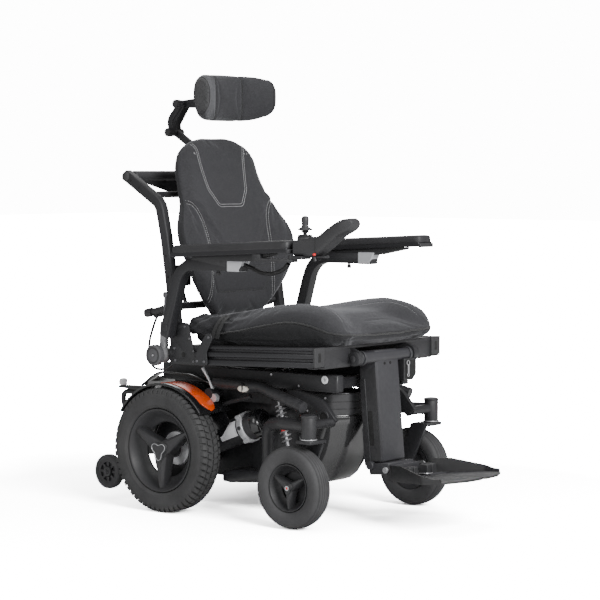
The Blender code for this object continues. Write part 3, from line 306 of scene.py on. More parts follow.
LOOKS = {
    "black_metal": powder_coat("powder_coat_black", (0.017, 0.017, 0.019)),
    "mast_metal": powder_coat("powder_coat_charcoal", (0.030, 0.030, 0.034), 0.45, 0.55),
    "black_plastic": moulded("moulded_black", (0.026, 0.026, 0.028)),
    "gloss_plastic": glossy("gloss_black", (0.009, 0.009, 0.010)),
    "shell_plastic": glossy("satin_casing", (0.026, 0.026, 0.027)),
    "foot_plastic": moulded("footplate_plastic", (0.015, 0.015, 0.016), 0.42, 0.56),
    "motor_grey": moulded("motor_cap_grey", (0.075, 0.075, 0.080), 0.40, 0.52),
    "dull_metal": brushed("dull_metal", (0.34, 0.34, 0.35), 0.34, 0.50, 0.5),
    "tyre_rubber": rubber("tyre_rubber", (0.040, 0.040, 0.041), (0.060, 0.060, 0.061)),
    "caster_rubber": rubber("caster_rubber", (0.048, 0.048, 0.050), (0.070, 0.070, 0.072)),
    "seat_fabric": knit("seat_knit", (0.024, 0.024, 0.026), (0.044, 0.044, 0.049)),
    "side_fabric": knit("side_knit", (0.014, 0.014, 0.015), (0.022, 0.022, 0.024)),
    "mesh_fabric": spacer_mesh("spacer_mesh", (0.040, 0.040, 0.042)),
    "pad_foam": skin_foam("arm_pad_skin", (0.024, 0.024, 0.026)),
    "silver_metal": brushed("brushed_silver", (0.74, 0.75, 0.77), 0.26, 0.42, 0.55),
    "anodised": brushed("anodised_black", (0.050, 0.050, 0.054), 0.30, 0.42, 0.7, (1.0, 0.02, 30.0)),
    "battery_case": moulded("battery_case", (0.035, 0.035, 0.040)),
    "cable": moulded("cable_jacket", (0.012, 0.012, 0.013), 0.35, 0.5),
    "key_grey": moulded("key_grey", (0.10, 0.10, 0.11)),
    "orange": lacquer("orange_panel", (0.66, 0.065, 0.003)),
    "fender_pale": lacquer("pale_orange_panel", (0.42, 0.09, 0.04)),
    "pale_grey": lacquer("pale_grey_cap", (0.50, 0.51, 0.53), 0.38, 0.06, 0.2),
    "label": lacquer("blank_label", (0.82, 0.82, 0.84), 0.4, 0.05, 0.1),
    "red": lacquer("red_dot", (0.70, 0.02, 0.02), 0.3, 0.1),
    "clear_lens": lens("clear_lens", (0.75, 0.75, 0.76)),
    "amber_lens": lens("pale_lens", (0.80, 0.74, 0.66)),
    "screw": brushed("zinc_screw", (0.58, 0.58, 0.60), 0.28, 0.45, 0.7),
    "dark_screw": brushed("dark_screw", (0.16, 0.16, 0.17), 0.28, 0.45, 0.7),
    "thread": thread("grey_thread", (0.46, 0.46, 0.47)),
    "dark_thread": thread("dark_piping", (0.012, 0.012, 0.013)),
    "webbing": thread("black_webbing", (0.018, 0.018, 0.019)),
    "hole": moulded("hole_shadow", (0.004, 0.004, 0.004), 0.8, 0.9),
}

# ---------------------------------------------------------------- outlines


def rounded(points, radius, closed=False, steps=6):
    """The corners of a path or outline turned into smooth arcs."""
    corners = [Vector(p) for p in points]
    count = len(corners)
    result = []
    for i, corner in enumerate(corners):
        if not closed and i in (0, count - 1):
            result.append(corner)
            continue
        before, after = corners[i - 1] - corner, corners[(i + 1) % count] - corner
        turn = math.pi - before.angle(after)
        reach = min(radius * math.tan(turn / 2), 0.49 * before.length, 0.49 * after.length)
        if turn < 0.02 or reach < 1e-5:
            result.append(corner)
            continue
        start = corner + before.normalized() * reach
        end = corner + after.normalized() * reach
        for step in range(steps + 1):
            t = step / steps
            result.append(start * (1 - t) ** 2 + corner * 2 * t * (1 - t) + end * t ** 2)
    return result


def smooth_route(points, spacing):
    """Points read at even steps from a smooth curve through a short list of points."""
    knots = [Vector(p) for p in points]
    knots = [knots[0] * 2 - knots[1]] + knots + [knots[-1] * 2 - knots[-2]]
    route = []
    for a, b, c, d in zip(knots, knots[1:], knots[2:], knots[3:]):
        steps = max(2, round((c - b).length / spacing))
        for step in range(steps):
            t = step / steps
            route.append(0.5 * ((2 * b) + (c - a) * t + (2 * a - 5 * b + 4 * c - d) * t ** 2
                                + (3 * b - a - 3 * c + d) * t ** 3))
    route.append(knots[-2])
    return route


def smooth_table(points, value):
    """Smooth interpolation in a list of (position, result) pairs."""
    xs = np.array([p[0] for p in points])
    ys = np.array([p[1] for p in points])
    slopes = np.gradient(ys, xs)
    value = np.clip(value, xs[0], xs[-1])
    i = np.clip(np.searchsorted(xs, value) - 1, 0, len(xs) - 2)
    step = xs[i + 1] - xs[i]
    t = (value - xs[i]) / step
    return ((2 * t ** 3 - 3 * t ** 2 + 1) * ys[i] + (t ** 3 - 2 * t ** 2 + t) * step * slopes[i]
            + (-2 * t ** 3 + 3 * t ** 2) * ys[i + 1] + (t ** 3 - t ** 2) * step * slopes[i + 1])


# ---------------------------------------------------------------- building pieces


class Shape:
    """A mesh put together from boxes, bars, swept, turned and flat pieces."""

    def __init__(self):
        self.bm = bmesh.new()

    def ring_strip(self, rings):
        """Faces between closed rows of points, with the two ends filled."""
        rows = [[self.bm.verts.new(p) for p in ring] for ring in rings]
        count = len(rows[0])
        for first, second in zip(rows, rows[1:]):
            for i in range(count):
                j = (i + 1) % count
                self.bm.faces.new((first[i], first[j], second[j], second[i]))
        self.bm.faces.new(rows[0][::-1])
        self.bm.faces.new(rows[-1])
        return self

    def box(self, low, high, turn_x=0.0):
        low, high = Vector(low), Vector(high)
        matrix = (Matrix.Translation((low + high) / 2) @ Matrix.Rotation(turn_x, 4, "X")
                  @ Matrix.Diagonal((*(high - low), 1.0)))
        bmesh.ops.create_cube(self.bm, size=1.0, matrix=matrix)
        return self

    def rod(self, start, end, radius, end_radius=None, sides=28):
        start, end = Vector(start), Vector(end)
        turn = Vector((0, 0, 1)).rotation_difference(end - start).to_matrix().to_4x4()
        bmesh.ops.create_cone(self.bm, cap_ends=True, segments=sides, radius1=radius,
                              radius2=radius if end_radius is None else end_radius,
                              depth=(end - start).length,
                              matrix=Matrix.Translation((start + end) / 2) @ turn)
        return self

    def turned(self, profile, centre, axis=(1, 0, 0), sides=72, closed=False):
        """A profile of (radius, distance along the axis) turned about the axis."""
        turn = Vector((0, 0, 1)).rotation_difference(Vector(axis)).to_matrix()
        rows = []
        for step in range(sides):
            angle = math.tau * step / sides
            spoke = Vector((math.cos(angle), math.sin(angle), 0))
            rows.append([self.bm.verts.new(Vector(centre) + turn @ (spoke * r + Vector((0, 0, h))))
                         for r, h in profile])
        span = len(profile)
        for first, second in zip(rows, rows[1:] + rows[:1]):
            for i in range(span if closed else span - 1):
                j = (i + 1) % span
                self.bm.faces.new((first[i], second[i], second[j], first[j]))
        if not closed:
            for end in (0, -1):
                if profile[end][0] > 1e-6:
                    self.bm.faces.new([row[end] for row in rows])
        return self

    def swept(self, points, radius, sides=12, up=(0, 0, 1)):
        """A round bar that follows a path."""
        points = [Vector(p) for p in points]
        rings, side = [], None
        for i, point in enumerate(points):
            along = (points[min(i + 1, len(points) - 1)] - points[max(i - 1, 0)]).normalized()
            if side is None:
                side = along.cross(Vector(up))
                if side.length < 1e-3:
                    side = along.cross(Vector((1, 0, 0)))
            side = (side - along * side.dot(along)).normalized()
            over = side.cross(along)
            rings.append([point + (side * math.cos(a) + over * math.sin(a)) * radius
                          for a in (math.tau * k / sides for k in range(sides))])
        return self.ring_strip(rings)

    def flat(self, outline, axis, low, high):
        """An outline in the two other axes, extruded along one axis from low to high."""
        def place(a, b, c):
            return {"x": (c, a, b), "y": (a, c, b), "z": (a, b, c)}[axis]
        return self.ring_strip([[Vector(place(p[0], p[1], level)) for p in outline]
                                for level in (low, high)])

    def make(self, name, look, body, bevel=0.0, segments=2, levels=0, angle=32, sharp=38):
        """The finished piece, in the row frame, riding on its body."""
        bmesh.ops.remove_doubles(self.bm, verts=self.bm.verts, dist=1e-6)
        bmesh.ops.recalc_face_normals(self.bm, faces=self.bm.faces)
        mesh = bpy.data.meshes.new(name)
        self.bm.to_mesh(mesh)
        self.bm.free()
        mesh.transform(Matrix.Translation((0, AXLE_Y, 0)))
        return finish_piece(mesh, name, look, body, bevel, segments, levels, angle, sharp)


def placed(name, data):
    """A new object in the scene."""
    obj = bpy.data.objects.new(name, data)
    bpy.context.scene.collection.objects.link(obj)
    return obj


def round_edges(obj, width, segments, angle):
    """Bevels on the edges sharper than an angle in degrees."""
    edges = obj.modifiers.new("rounded_edges", "BEVEL")
    edges.width = width
    edges.segments = segments
    edges.angle_limit = math.radians(angle)


def smooth_by(obj, levels):
    """Subdivision by a number of levels."""
    smooth = obj.modifiers.new("smooth", "SUBSURF")
    smooth.levels = smooth.render_levels = levels


def finish_piece(mesh, name, look, body, bevel=0.0, segments=2, levels=0, angle=32, sharp=38):
    """A piece in its material, with rounded edges, riding on its body."""
    obj = placed(name, mesh)
    mesh.materials.append(LOOKS[look])
    mesh.shade_smooth()
    mesh.set_sharp_from_angle(angle=math.radians(sharp))
    if bevel:
        round_edges(obj, bevel, segments, angle)
    if levels:
        smooth_by(obj, levels)
    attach(obj, body)
    return obj


def helix(centre, along, radius, pitch, turns, steps=18):
    """Points on a coil about an axis."""
    along = Vector(along).normalized()
    side = along.orthogonal().normalized()
    over = along.cross(side)
    return [Vector(centre) + along * (pitch * k / steps)
            + (side * math.cos(math.tau * k / steps) + over * math.sin(math.tau * k / steps)) * radius
            for k in range(int(turns * steps) + 1)]


# ---------------------------------------------------------------- carried-over CAD nodes

BEVELS = {                             # how far each carried-over piece's edges are rounded
    "arm_tube": 0.0022, "legrest_mast": 0.0018, "legrest_slider": 0.0012, "seat_base": 0.0020,
    "back_frame": 0.0016, "front_shell": 0.0010, "rear_cover": 0.0015, "fender": 0.0012,
    "footplate": 0.0012, "caster_fork": 0.0015, "side_plate": 0.0008, "seat_rail": 0.0006,
    "headrest": 0.0010, "drive_motor": 0.0018, "caster_arm": 0.0020, "seat_frame": 0.0010,
    "recline": 0.0012, "joystick_pod": 0.0012, "rear_frame": 0.0010, "chassis_tray": 0.0008,
    "battery": 0.0015, "motor_controller": 0.0015, "back_shell": 0.0010,
}
SPECIAL_LOOKS = {"legrest_mast": "mast_metal", "legrest_slider": "mast_metal",
                 "front_shell": "shell_plastic",
                 "recline_actuator": "dull_metal", "recline_rod": "dark_screw",
                 "footplate_left": "foot_plastic", "footplate_right": "foot_plastic"}


def dress_node(name, look, bevel):
    """A better material and rounded, smooth-shaded edges on a CAD node, by modifiers only."""
    node = NODES[name]
    for slot in node.material_slots:
        slot.material = LOOKS[look]
    weld = node.modifiers.new("weld", "WELD")
    weld.merge_threshold = 0.00002
    flatten = node.modifiers.new("merge_flat_faces", "DECIMATE")
    flatten.decimate_type = "DISSOLVE"
    flatten.angle_limit = math.radians(0.8)
    if bevel:
        round_edges(node, bevel, 2, 38)
    split = node.modifiers.new("sharp_edges", "EDGE_SPLIT")
    split.split_angle = math.radians(40)
    for face in node.data.polygons:
        face.use_smooth = True


def dress_frame():
    """The looks of the frame's own nodes."""
    bodies = frame["record"]["behaviour"]["bodies"]
    slots = {part["node"]: part["material_slot"] for part in frame["record"]["subparts"]}
    for name in sorted(n for nodes in bodies.values() for n in nodes):
        look = SPECIAL_LOOKS.get(name) or slots[name]
        bevel = next((size for key, size in BEVELS.items() if name.startswith(key)), 0.0)
        dress_node(name, look, bevel)


# ---------------------------------------------------------------- wheels


def wheel_point(centre, x, radius, angle):
    """A point on a wheel: distance along the axle, radius, and angle from straight down."""
    return Vector((centre[0] + x, centre[1] + radius * math.sin(angle),
                   centre[2] - radius * math.cos(angle)))


def make_drive_tyre(name, side):
    """A lugged tyre: the carcass, a row of shoulder lugs and a row of crown lugs on each side."""
    centre = Vector((side * DRIVE_X, 0, DRIVE_R))
    flank = [(0.1212, 0.0300), (0.1240, 0.0345), (0.1290, 0.0362), (0.1300, 0.0372),
             (0.1420, 0.0384), (0.1520, 0.0386), (0.1620, 0.0372), (0.1690, 0.0320),
             (0.1728, 0.0220), (0.1738, 0.0)]
    section = flank + [(r, -x) for r, x in reversed(flank[:-1])]
    shape = Shape().turned(section, centre, sides=120, closed=True)
    count = 58
    pitch = math.tau / count
    shoulder = [(0.0370, 0.1600, 0.1540, 0.00, 0.27), (0.0374, 0.1655, 0.1590, 0.00, 0.30),
                (0.0352, 0.1725, 0.1650, 0.02, 0.32), (0.0298, 0.1768, 0.1700, 0.10, 0.33),
                (0.0225, 0.1777, 0.1720, 0.22, 0.30)]
    crown = [(0.0195, 0.1778, 0.1725, -0.10, 0.30), (0.0120, 0.1780, 0.1728, 0.02, 0.34),
             (0.0040, 0.1780, 0.1728, 0.16, 0.34)]
    for row, offset in ((shoulder, 0.0), (crown, 0.5)):
        for mirror in (1, -1):
            for number in range(count):
                rings = []
                for x, top, base, drift, wide in row:
                    angle = (number + offset + drift + 0.25 * (mirror < 0)) * pitch
                    spread = wide * pitch
                    rings.append([wheel_point(centre, mirror * x, base, angle - spread * 1.12),
                                  wheel_point(centre, mirror * x, top, angle - spread),
                                  wheel_point(centre, mirror * x, top, angle + spread),
                                  wheel_point(centre, mirror * x, base, angle + spread * 1.12)])
                shape.ring_strip(rings)
    tyre = shape.make(name.replace("tyre", "tread"), "tyre_rubber", name.replace("tyre", "wheel"),
                      sharp=30)
    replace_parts(tyre, name)


def make_caster_tyre(name, side, body):
    """A ribbed caster tyre: six rounded grooves run round its crown."""
    centre = Vector((side * CASTER_X, CASTER_Y, CASTER_R))
    flank = [(0.0662, 0.0200), (0.0690, 0.0258), (0.0735, 0.0280), (0.0745, 0.0288),
             (0.0860, 0.0314), (0.0960, 0.0318), (0.1030, 0.0305)]
    crown, half = [], 0.0285
    for step in range(57):
        x = half - 0.001 * step
        groove = sum(math.exp(-((abs(x) - place) / 0.0018) ** 2)
                     for place in (0.0045, 0.0125, 0.0205))
        crown.append((0.1138 - 0.0088 * (abs(x) / half) ** 3 - 0.0042 * groove, x))
    section = flank + crown + [(r, -x) for r, x in reversed(flank)]
    tyre = Shape().turned(section, centre, sides=96, closed=True).make(
        name.replace("tyre", "tread"), "caster_rubber", body, sharp=50)
    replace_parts(tyre, name)


def spoke_rings(centre, side, turn, stations, base):
    """A ridged spoke: sections across it at growing radius. A station is (radius, half width,
    height of the ridge along the axle)."""
    rings = []
    for radius, half, ridge in stations:
        across = [(-half, base), (-half * 0.86, ridge - 0.0065), (-half * 0.42, ridge),
                  (half * 0.42, ridge), (half * 0.86, ridge - 0.0065), (half, base)]
        rings.append([wheel_point(centre, side * x, math.hypot(radius, w),
                                  turn + math.atan2(w, radius)) for w, x in across])
    return rings


def make_rim(node, body, side, centre, size, depth, name, web):
    """A dished three-spoke wheel centre; sizes follow the rim's radius and half width."""
    lip, cone, inner = size * 0.992, size * 0.955, size * 0.66
    section = [(lip, depth * 0.90), (lip * 0.985, depth), (cone, depth * 0.99),
               (cone * 0.97, depth * 0.88), (size * 0.84, depth * 0.30), (size * 0.74, depth * 0.02),
               (inner, -depth * 0.10),
               (inner * 0.98, -depth * 0.22), (inner * 1.03, -depth * 0.28),
               (size * 0.86, -depth * 0.90), (lip, -depth * 0.96)]
    shape = Shape().turned([(r, side * x) for r, x in section], centre, sides=96, closed=True)
    stations = [(size * 0.03, size * 0.215, depth * 0.93), (size * 0.22, size * 0.190, depth * 0.96),
                (size * 0.40, size * 0.150, depth * 0.96), (size * 0.62, size * 0.112, depth * 0.93),
                (size * 0.84, size * 0.082, depth * 0.86), (size * 0.925, size * 0.066, depth * 0.74)]
    for number in range(3):
        turn = math.radians(120 * number)
        shape.ring_strip(spoke_rings(centre, side, turn, stations, -depth * 0.10))
    shape.rod(Vector(centre) + Vector((side * depth * 0.90, 0, 0)),
              Vector(centre) - Vector((side * depth * 0.95, 0, 0)), size * 0.215, sides=40)
    if web:
        shape.turned([(size * 0.18, -side * depth * 0.45), (size * 0.80, -side * depth * 0.45),
                      (size * 0.80, -side * depth * 0.58), (size * 0.18, -side * depth * 0.58)],
                     centre, closed=True, sides=64)
    rim = shape.make(name, "black_plastic", body, bevel=0.0009, segments=2, angle=34)
    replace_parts(rim, node)
    lobes = []
    for step in range(72):
        angle = math.tau * step / 72
        reach = size * (0.185 + 0.070 * math.cos(1.5 * angle) ** 2 + 0.03 * math.cos(3 * angle))
        lobes.append((angle, reach))
    cap = Shape()
    cap.ring_strip([[wheel_point(centre, side * x, reach * share, angle) for angle, reach in lobes]
                    for x, share in ((depth * 0.85, 1.0), (depth * 1.06, 0.97), (depth * 1.10, 0.88))])
    cap.make(f"{name}_cap", "black_plastic", body, sharp=30)
    face = Vector(centre) + Vector((side * depth * 1.04, 0, 0))
    out = Vector((side * depth, 0, 0))
    if not web:
        line = [wheel_point(centre, side * depth * 1.10, reach * 0.80, angle)
                for angle, reach in lobes]
        trim = Shape().swept(line + line[:1], size * 0.0050, 8, up=(1, 0, 0))
        trim.make(f"{name}_edge_line", "silver_metal", body)
        Shape().rod(face, face + out * 0.09, size * 0.055, sides=6).make(
            f"{name}_bolt", "black_plastic", body, bevel=0.0004)
        return
    ring = Shape().turned([(size * 0.050, side * depth * 1.06), (size * 0.105, side * depth * 1.06),
                           (size * 0.100, side * depth * 1.14), (size * 0.055, side * depth * 1.14)],
                          centre, closed=True, sides=40)
    ring.make(f"{name}_bolt", "screw", body)
    Shape().rod(face, face + out * 0.07, size * 0.048, sides=24).make(f"{name}_dot", "red", body)


def make_anti_tip_detail(side_name, side):
    """A small wheel with a smooth tyre, a disc with eight windows and a zinc axle bolt."""
    centre = Vector((side * ANTI_TIP.x, ANTI_TIP.y - AXLE_Y, ANTI_TIP.z))
    body = f"anti_tip_{side_name}"
    tyre = [(0.0360, 0.0100), (0.0400, 0.0118), (0.0470, 0.0122), (0.0505, 0.0090), (0.0514, 0.0030),
            (0.0514, -0.0030), (0.0505, -0.0090), (0.0470, -0.0122), (0.0400, -0.0118),
            (0.0360, -0.0100)]
    Shape().turned(tyre, centre, closed=True, sides=64).make(
        f"anti_tip_tyre_{side_name}", "caster_rubber", body)
    shape = Shape().turned([(0.0290, 0.0070), (0.0362, 0.0092), (0.0362, -0.0092),
                            (0.0290, -0.0070)], centre, closed=True, sides=64)
    shape.turned([(0.0062, 0.0120), (0.0140, 0.0115), (0.0165, 0.0075), (0.0165, -0.0075),
                  (0.0140, -0.0115), (0.0062, -0.0120)], centre, closed=True, sides=48)
    shape.turned([(0.0150, 0.0008), (0.0300, 0.0008), (0.0300, -0.0008), (0.0150, -0.0008)], centre,
                 closed=True, sides=48)
    for number in range(8):
        shape.ring_strip(spoke_rings(centre, 1, math.tau * number / 8, [
            (0.0150, 0.0042, 0.0068), (0.0300, 0.0036, 0.0068)], -0.0060))
    disc = shape.make(f"anti_tip_disc_{side_name}", "black_plastic", body, bevel=0.0006)
    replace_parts(disc, f"anti_tip_wheel_{side_name}")
    bolt = Shape().turned([(0.0, 0.0148), (0.0035, 0.0148), (0.0052, 0.0136), (0.0058, 0.0110),
                           (0.0058, 0.0085)], centre, axis=(side, 0, 0), sides=24)
    bolt.make(f"anti_tip_bolt_{side_name}", "screw", body)


def make_wheels():
    """Tyres and rims on the drive, caster and anti-tip wheels."""
    for side_name, side in SIDES.items():
        make_drive_tyre(f"drive_tyre_{side_name}", side)
        make_rim(f"drive_rim_{side_name}", f"drive_wheel_{side_name}", side,
                 Vector((side * DRIVE_X, 0, DRIVE_R)), 0.121, 0.0335, f"drive_centre_{side_name}",
                 False)
        make_caster_tyre(f"caster_tyre_{side_name}", side, f"caster_wheel_{side_name}")
        make_rim(f"caster_rim_{side_name}", f"caster_wheel_{side_name}", side,
                 Vector((side * CASTER_X, CASTER_Y, CASTER_R)), 0.066, 0.0256,
                 f"caster_centre_{side_name}", True)
        make_anti_tip_detail(side_name, side)


# ---------------------------------------------------------------- soft goods

CLOTH_FRAMES = 20
STITCH_SHARE = 0.66                    # the part of a stitch's spacing that shows thread


def divided_cube(cuts, place):
    """A closed form: a divided cube whose points a function of (u, v, w) moves."""
    bm = bmesh.new()
    bmesh.ops.create_cube(bm, size=2.0)
    bmesh.ops.subdivide_edges(bm, edges=bm.edges, cuts=cuts, use_grid_fill=True)
    for vertex in bm.verts:
        vertex.co = at(*place(*vertex.co))
    bmesh.ops.recalc_face_normals(bm, faces=bm.faces)
    mesh = bpy.data.meshes.new("soft_form")
    bm.to_mesh(mesh)
    bm.free()
    return mesh


def evaluated_mesh(obj):
    """A new mesh with the modifiers applied."""
    bpy.context.view_layer.update()
    graph = bpy.context.evaluated_depsgraph_get()
    return bpy.data.meshes.new_from_object(obj.evaluated_get(graph))


def mesh_points(mesh):
    """The places of a mesh's vertices, as an array."""
    points = np.zeros(len(mesh.vertices) * 3, np.float32)
    mesh.vertices.foreach_get("co", points)
    return points.reshape(-1, 3).astype(float)


def set_points(mesh, points):
    """Moves a mesh's vertices to the given places."""
    mesh.vertices.foreach_set("co", points.astype(np.float32).ravel())
    mesh.update()


def stuffed(mesh, voxel, cap, pressure, seams, pin_width):
    """The padded form of a mesh: remeshed, then blown up as cloth that its seams hold in."""
    obj = placed("cloth_work", mesh)
    smooth_by(obj, 2)
    remesh = obj.modifiers.new("remesh", "REMESH")
    remesh.mode = "VOXEL"
    remesh.voxel_size = voxel
    work = evaluated_mesh(obj)
    bpy.data.objects.remove(obj)
    rest = mesh_points(work)
    obj = placed("cloth_work", work)
    group = obj.vertex_groups.new(name="held")
    far = distance_to_points(rest, seams)
    for index in np.nonzero(far < pin_width)[0]:
        group.add([int(index)], float(1.0 - far[index] / pin_width), "REPLACE")
    cloth = obj.modifiers.new("cloth", "CLOTH")
    cloth.settings.use_pressure = True
    cloth.settings.uniform_pressure_force = pressure
    cloth.settings.effector_weights.gravity = 0
    cloth.settings.quality = 4
    cloth.settings.vertex_group_mass = "held"
    scene = bpy.context.scene
    for number in range(1, CLOTH_FRAMES + 1):
        scene.frame_set(number)
    swollen = mesh_points(evaluated_mesh(obj))
    scene.frame_set(1)
    bpy.data.objects.remove(obj)
    move = swollen - rest
    length = np.linalg.norm(move, axis=1, keepdims=True)
    move *= np.minimum(1.0, cap / np.maximum(length, 1e-9))
    set_points(work, rest + move)
    return work


def distance_to_points(points, others):
    """Distance from each point to the nearest of some others, in blocks."""
    others = np.array([tuple(p) for p in others], float)
    nearest = np.full(len(points), 1e9)
    for start in range(0, len(others), 60):
        block = others[start:start + 60]
        gap = np.linalg.norm(points[:, None, :] - block[None, :, :], axis=2)
        nearest = np.minimum(nearest, gap.min(axis=1))
    return nearest


def subdivided(mesh):
    """The mesh with one level of subdivision applied."""
    obj = placed("work", mesh)
    smooth_by(obj, 1)
    result = evaluated_mesh(obj)
    bpy.data.objects.remove(obj)
    return result


def vertex_normals(mesh):
    """The normals at a mesh's vertices, as an array."""
    normals = np.zeros(len(mesh.vertices) * 3, np.float32)
    mesh.vertex_normals.foreach_get("vector", normals)
    return normals.reshape(-1, 3).astype(float)


def pressed_in(mesh, grooves):
    """Sewn grooves: the surface dips along each line. A groove is (points, depth, width)."""
    points, normals = mesh_points(mesh), vertex_normals(mesh)
    dip = np.zeros(len(points))
    for line, depth, width in grooves:
        far = distance_to_points(points, line)
        dip = np.maximum(dip, depth * np.exp(-(far / width) ** 2))
    set_points(mesh, points - normals * dip[:, None])


def surface_tree(mesh):
    """A search tree over a mesh's faces."""
    bm = bmesh.new()
    bm.from_mesh(mesh)
    tree = BVHTree.FromBMesh(bm)
    bm.free()
    return tree


def on_surface(tree, points, direction=None, lift=0.0):
    """Points dropped on a surface along a direction, or onto its nearest place."""
    places = []
    for point in points:
        if direction is None:
            place, normal, _, _ = tree.find_nearest(point)
        else:
            place, normal, _, _ = tree.ray_cast(point - Vector(direction) * 0.3, direction)
            if place is None:
                place, normal, _, _ = tree.find_nearest(point)
        places.append(place + normal * lift)
    return places


def even(points, spacing):
    """The same line with points at even steps."""
    points = [Vector(p) for p in points]
    lengths = [0.0]
    for first, second in zip(points, points[1:]):
        lengths.append(lengths[-1] + (second - first).length)
    count = max(2, round(lengths[-1] / spacing))
    result, index = [], 0
    for step in range(count + 1):
        goal = lengths[-1] * step / count
        while index < len(points) - 2 and lengths[index + 1] < goal:
            index += 1
        run = max(lengths[index + 1] - lengths[index], 1e-9)
        result.append(points[index].lerp(points[index + 1], (goal - lengths[index]) / run))
    return result


def make_stitches(name, tree, lines, direction, body, gap, radius):
    """Rows of short raised stitches that follow lines on a surface."""
    shape = Shape()
    for line in lines:
        places = on_surface(tree, even(line, gap), direction, radius * 0.5)
        for first, second in zip(places, places[1:]):
            end = first.lerp(second, STITCH_SHARE)
            if (end - first).length < gap * 3:
                shape.rod(from_axle(first), from_axle(end), radius, sides=6)
    return shape.make(name, "thread", body, sharp=60)


def make_piping(name, places, radius, body):
    """A thin corded edge that lies along a seam."""
    route = [from_axle(p) for p in places]
    return Shape().swept(route, radius, 8).make(name, "dark_thread", body, sharp=60)


def soft_piece(mesh, name, looks, body, node, pick=None):
    """A padded piece that stands for a CAD node; pick chooses a look for each face's middle."""
    obj = finish_piece(mesh, name, looks[0], body, sharp=180)
    for look in looks[1:]:
        mesh.materials.append(LOOKS[look])
    if pick:
        for face in mesh.polygons:
            face.material_index = pick(from_axle(face.center))
    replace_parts(obj, node)
    return obj


# the seat cushion
CUSHION_HALF = [(-0.600, 0.186), (-0.585, 0.206), (-0.550, 0.230), (-0.500, 0.239), (-0.200, 0.241),
                (-0.060, 0.236)]
CUSHION_SIDE = [(-0.600, 0.548), (-0.575, 0.572), (-0.520, 0.594), (-0.440, 0.603), (-0.350, 0.594),
                (-0.220, 0.571), (-0.100, 0.553), (-0.060, 0.546)]
CUSHION_MIDDLE = [(-0.600, 0.537), (-0.570, 0.556), (-0.520, 0.568), (-0.440, 0.573),
                  (-0.300, 0.565), (-0.100, 0.546), (-0.060, 0.542)]
CUSHION_SEAM = [(-0.600, 0.528), (-0.565, 0.531), (-0.520, 0.547), (-0.450, 0.560), (-0.350, 0.548),
                (-0.230, 0.524), (-0.100, 0.508), (-0.060, 0.505)]


def seat_height(y, above):
    return SEAT_MIDDLE.z + (y - SEAT_MIDDLE.y) * math.tan(SEAT_SLOPE) + above


def cushion_top(x, y):
    """Height of the contoured top: raised sides, a leg trough on each side and a low middle."""
    side = float(smooth_table(CUSHION_SIDE, y))
    mid = float(smooth_table(CUSHION_MIDDLE, y))
    share = min(1.0, abs(x) / 0.195)
    rise = share * share * (3 - 2 * share)
    front = min(1.0, max(0.0, (-0.16 - y) / 0.24))
    trough = 0.013 * math.exp(-((abs(x) - 0.095) / 0.045) ** 2) * front
    return mid + (side - mid) * rise - trough


def cushion_form(u, v, w):
    y = -0.3275 + 0.2640 * v
    x = u * float(smooth_table(CUSHION_HALF, y))
    bottom = seat_height(y, 0.0335)
    top = cushion_top(x, y)
    roll = max(0.0, abs(u) - 0.86) / 0.14
    end = max(0.0, abs(v) - 0.90) / 0.10
    top -= 0.012 * roll ** 2 + 0.012 * end ** 2
    z = bottom + (top - bottom) * (w + 1) / 2
    bulge = 1 - w * w
    return x * (1 + 0.012 * bulge), y + 0.004 * bulge * (v > 0.99) - 0.004 * bulge * (v < -0.99), z


def cushion_seam():
    """The seam between the top and the darker side border, round the front."""
    side = [(-0.250, y, float(smooth_table(CUSHION_SEAM, y)))
            for y in np.linspace(-0.075, -0.530, 26)]
    front = [(-0.236, -0.556, 0.534), (-0.205, -0.592, 0.530), (-0.120, -0.604, 0.527),
             (0.0, -0.607, 0.526)]
    half = side + front
    return half + [(-x, y, z) for x, y, z in reversed(half[:-1])]


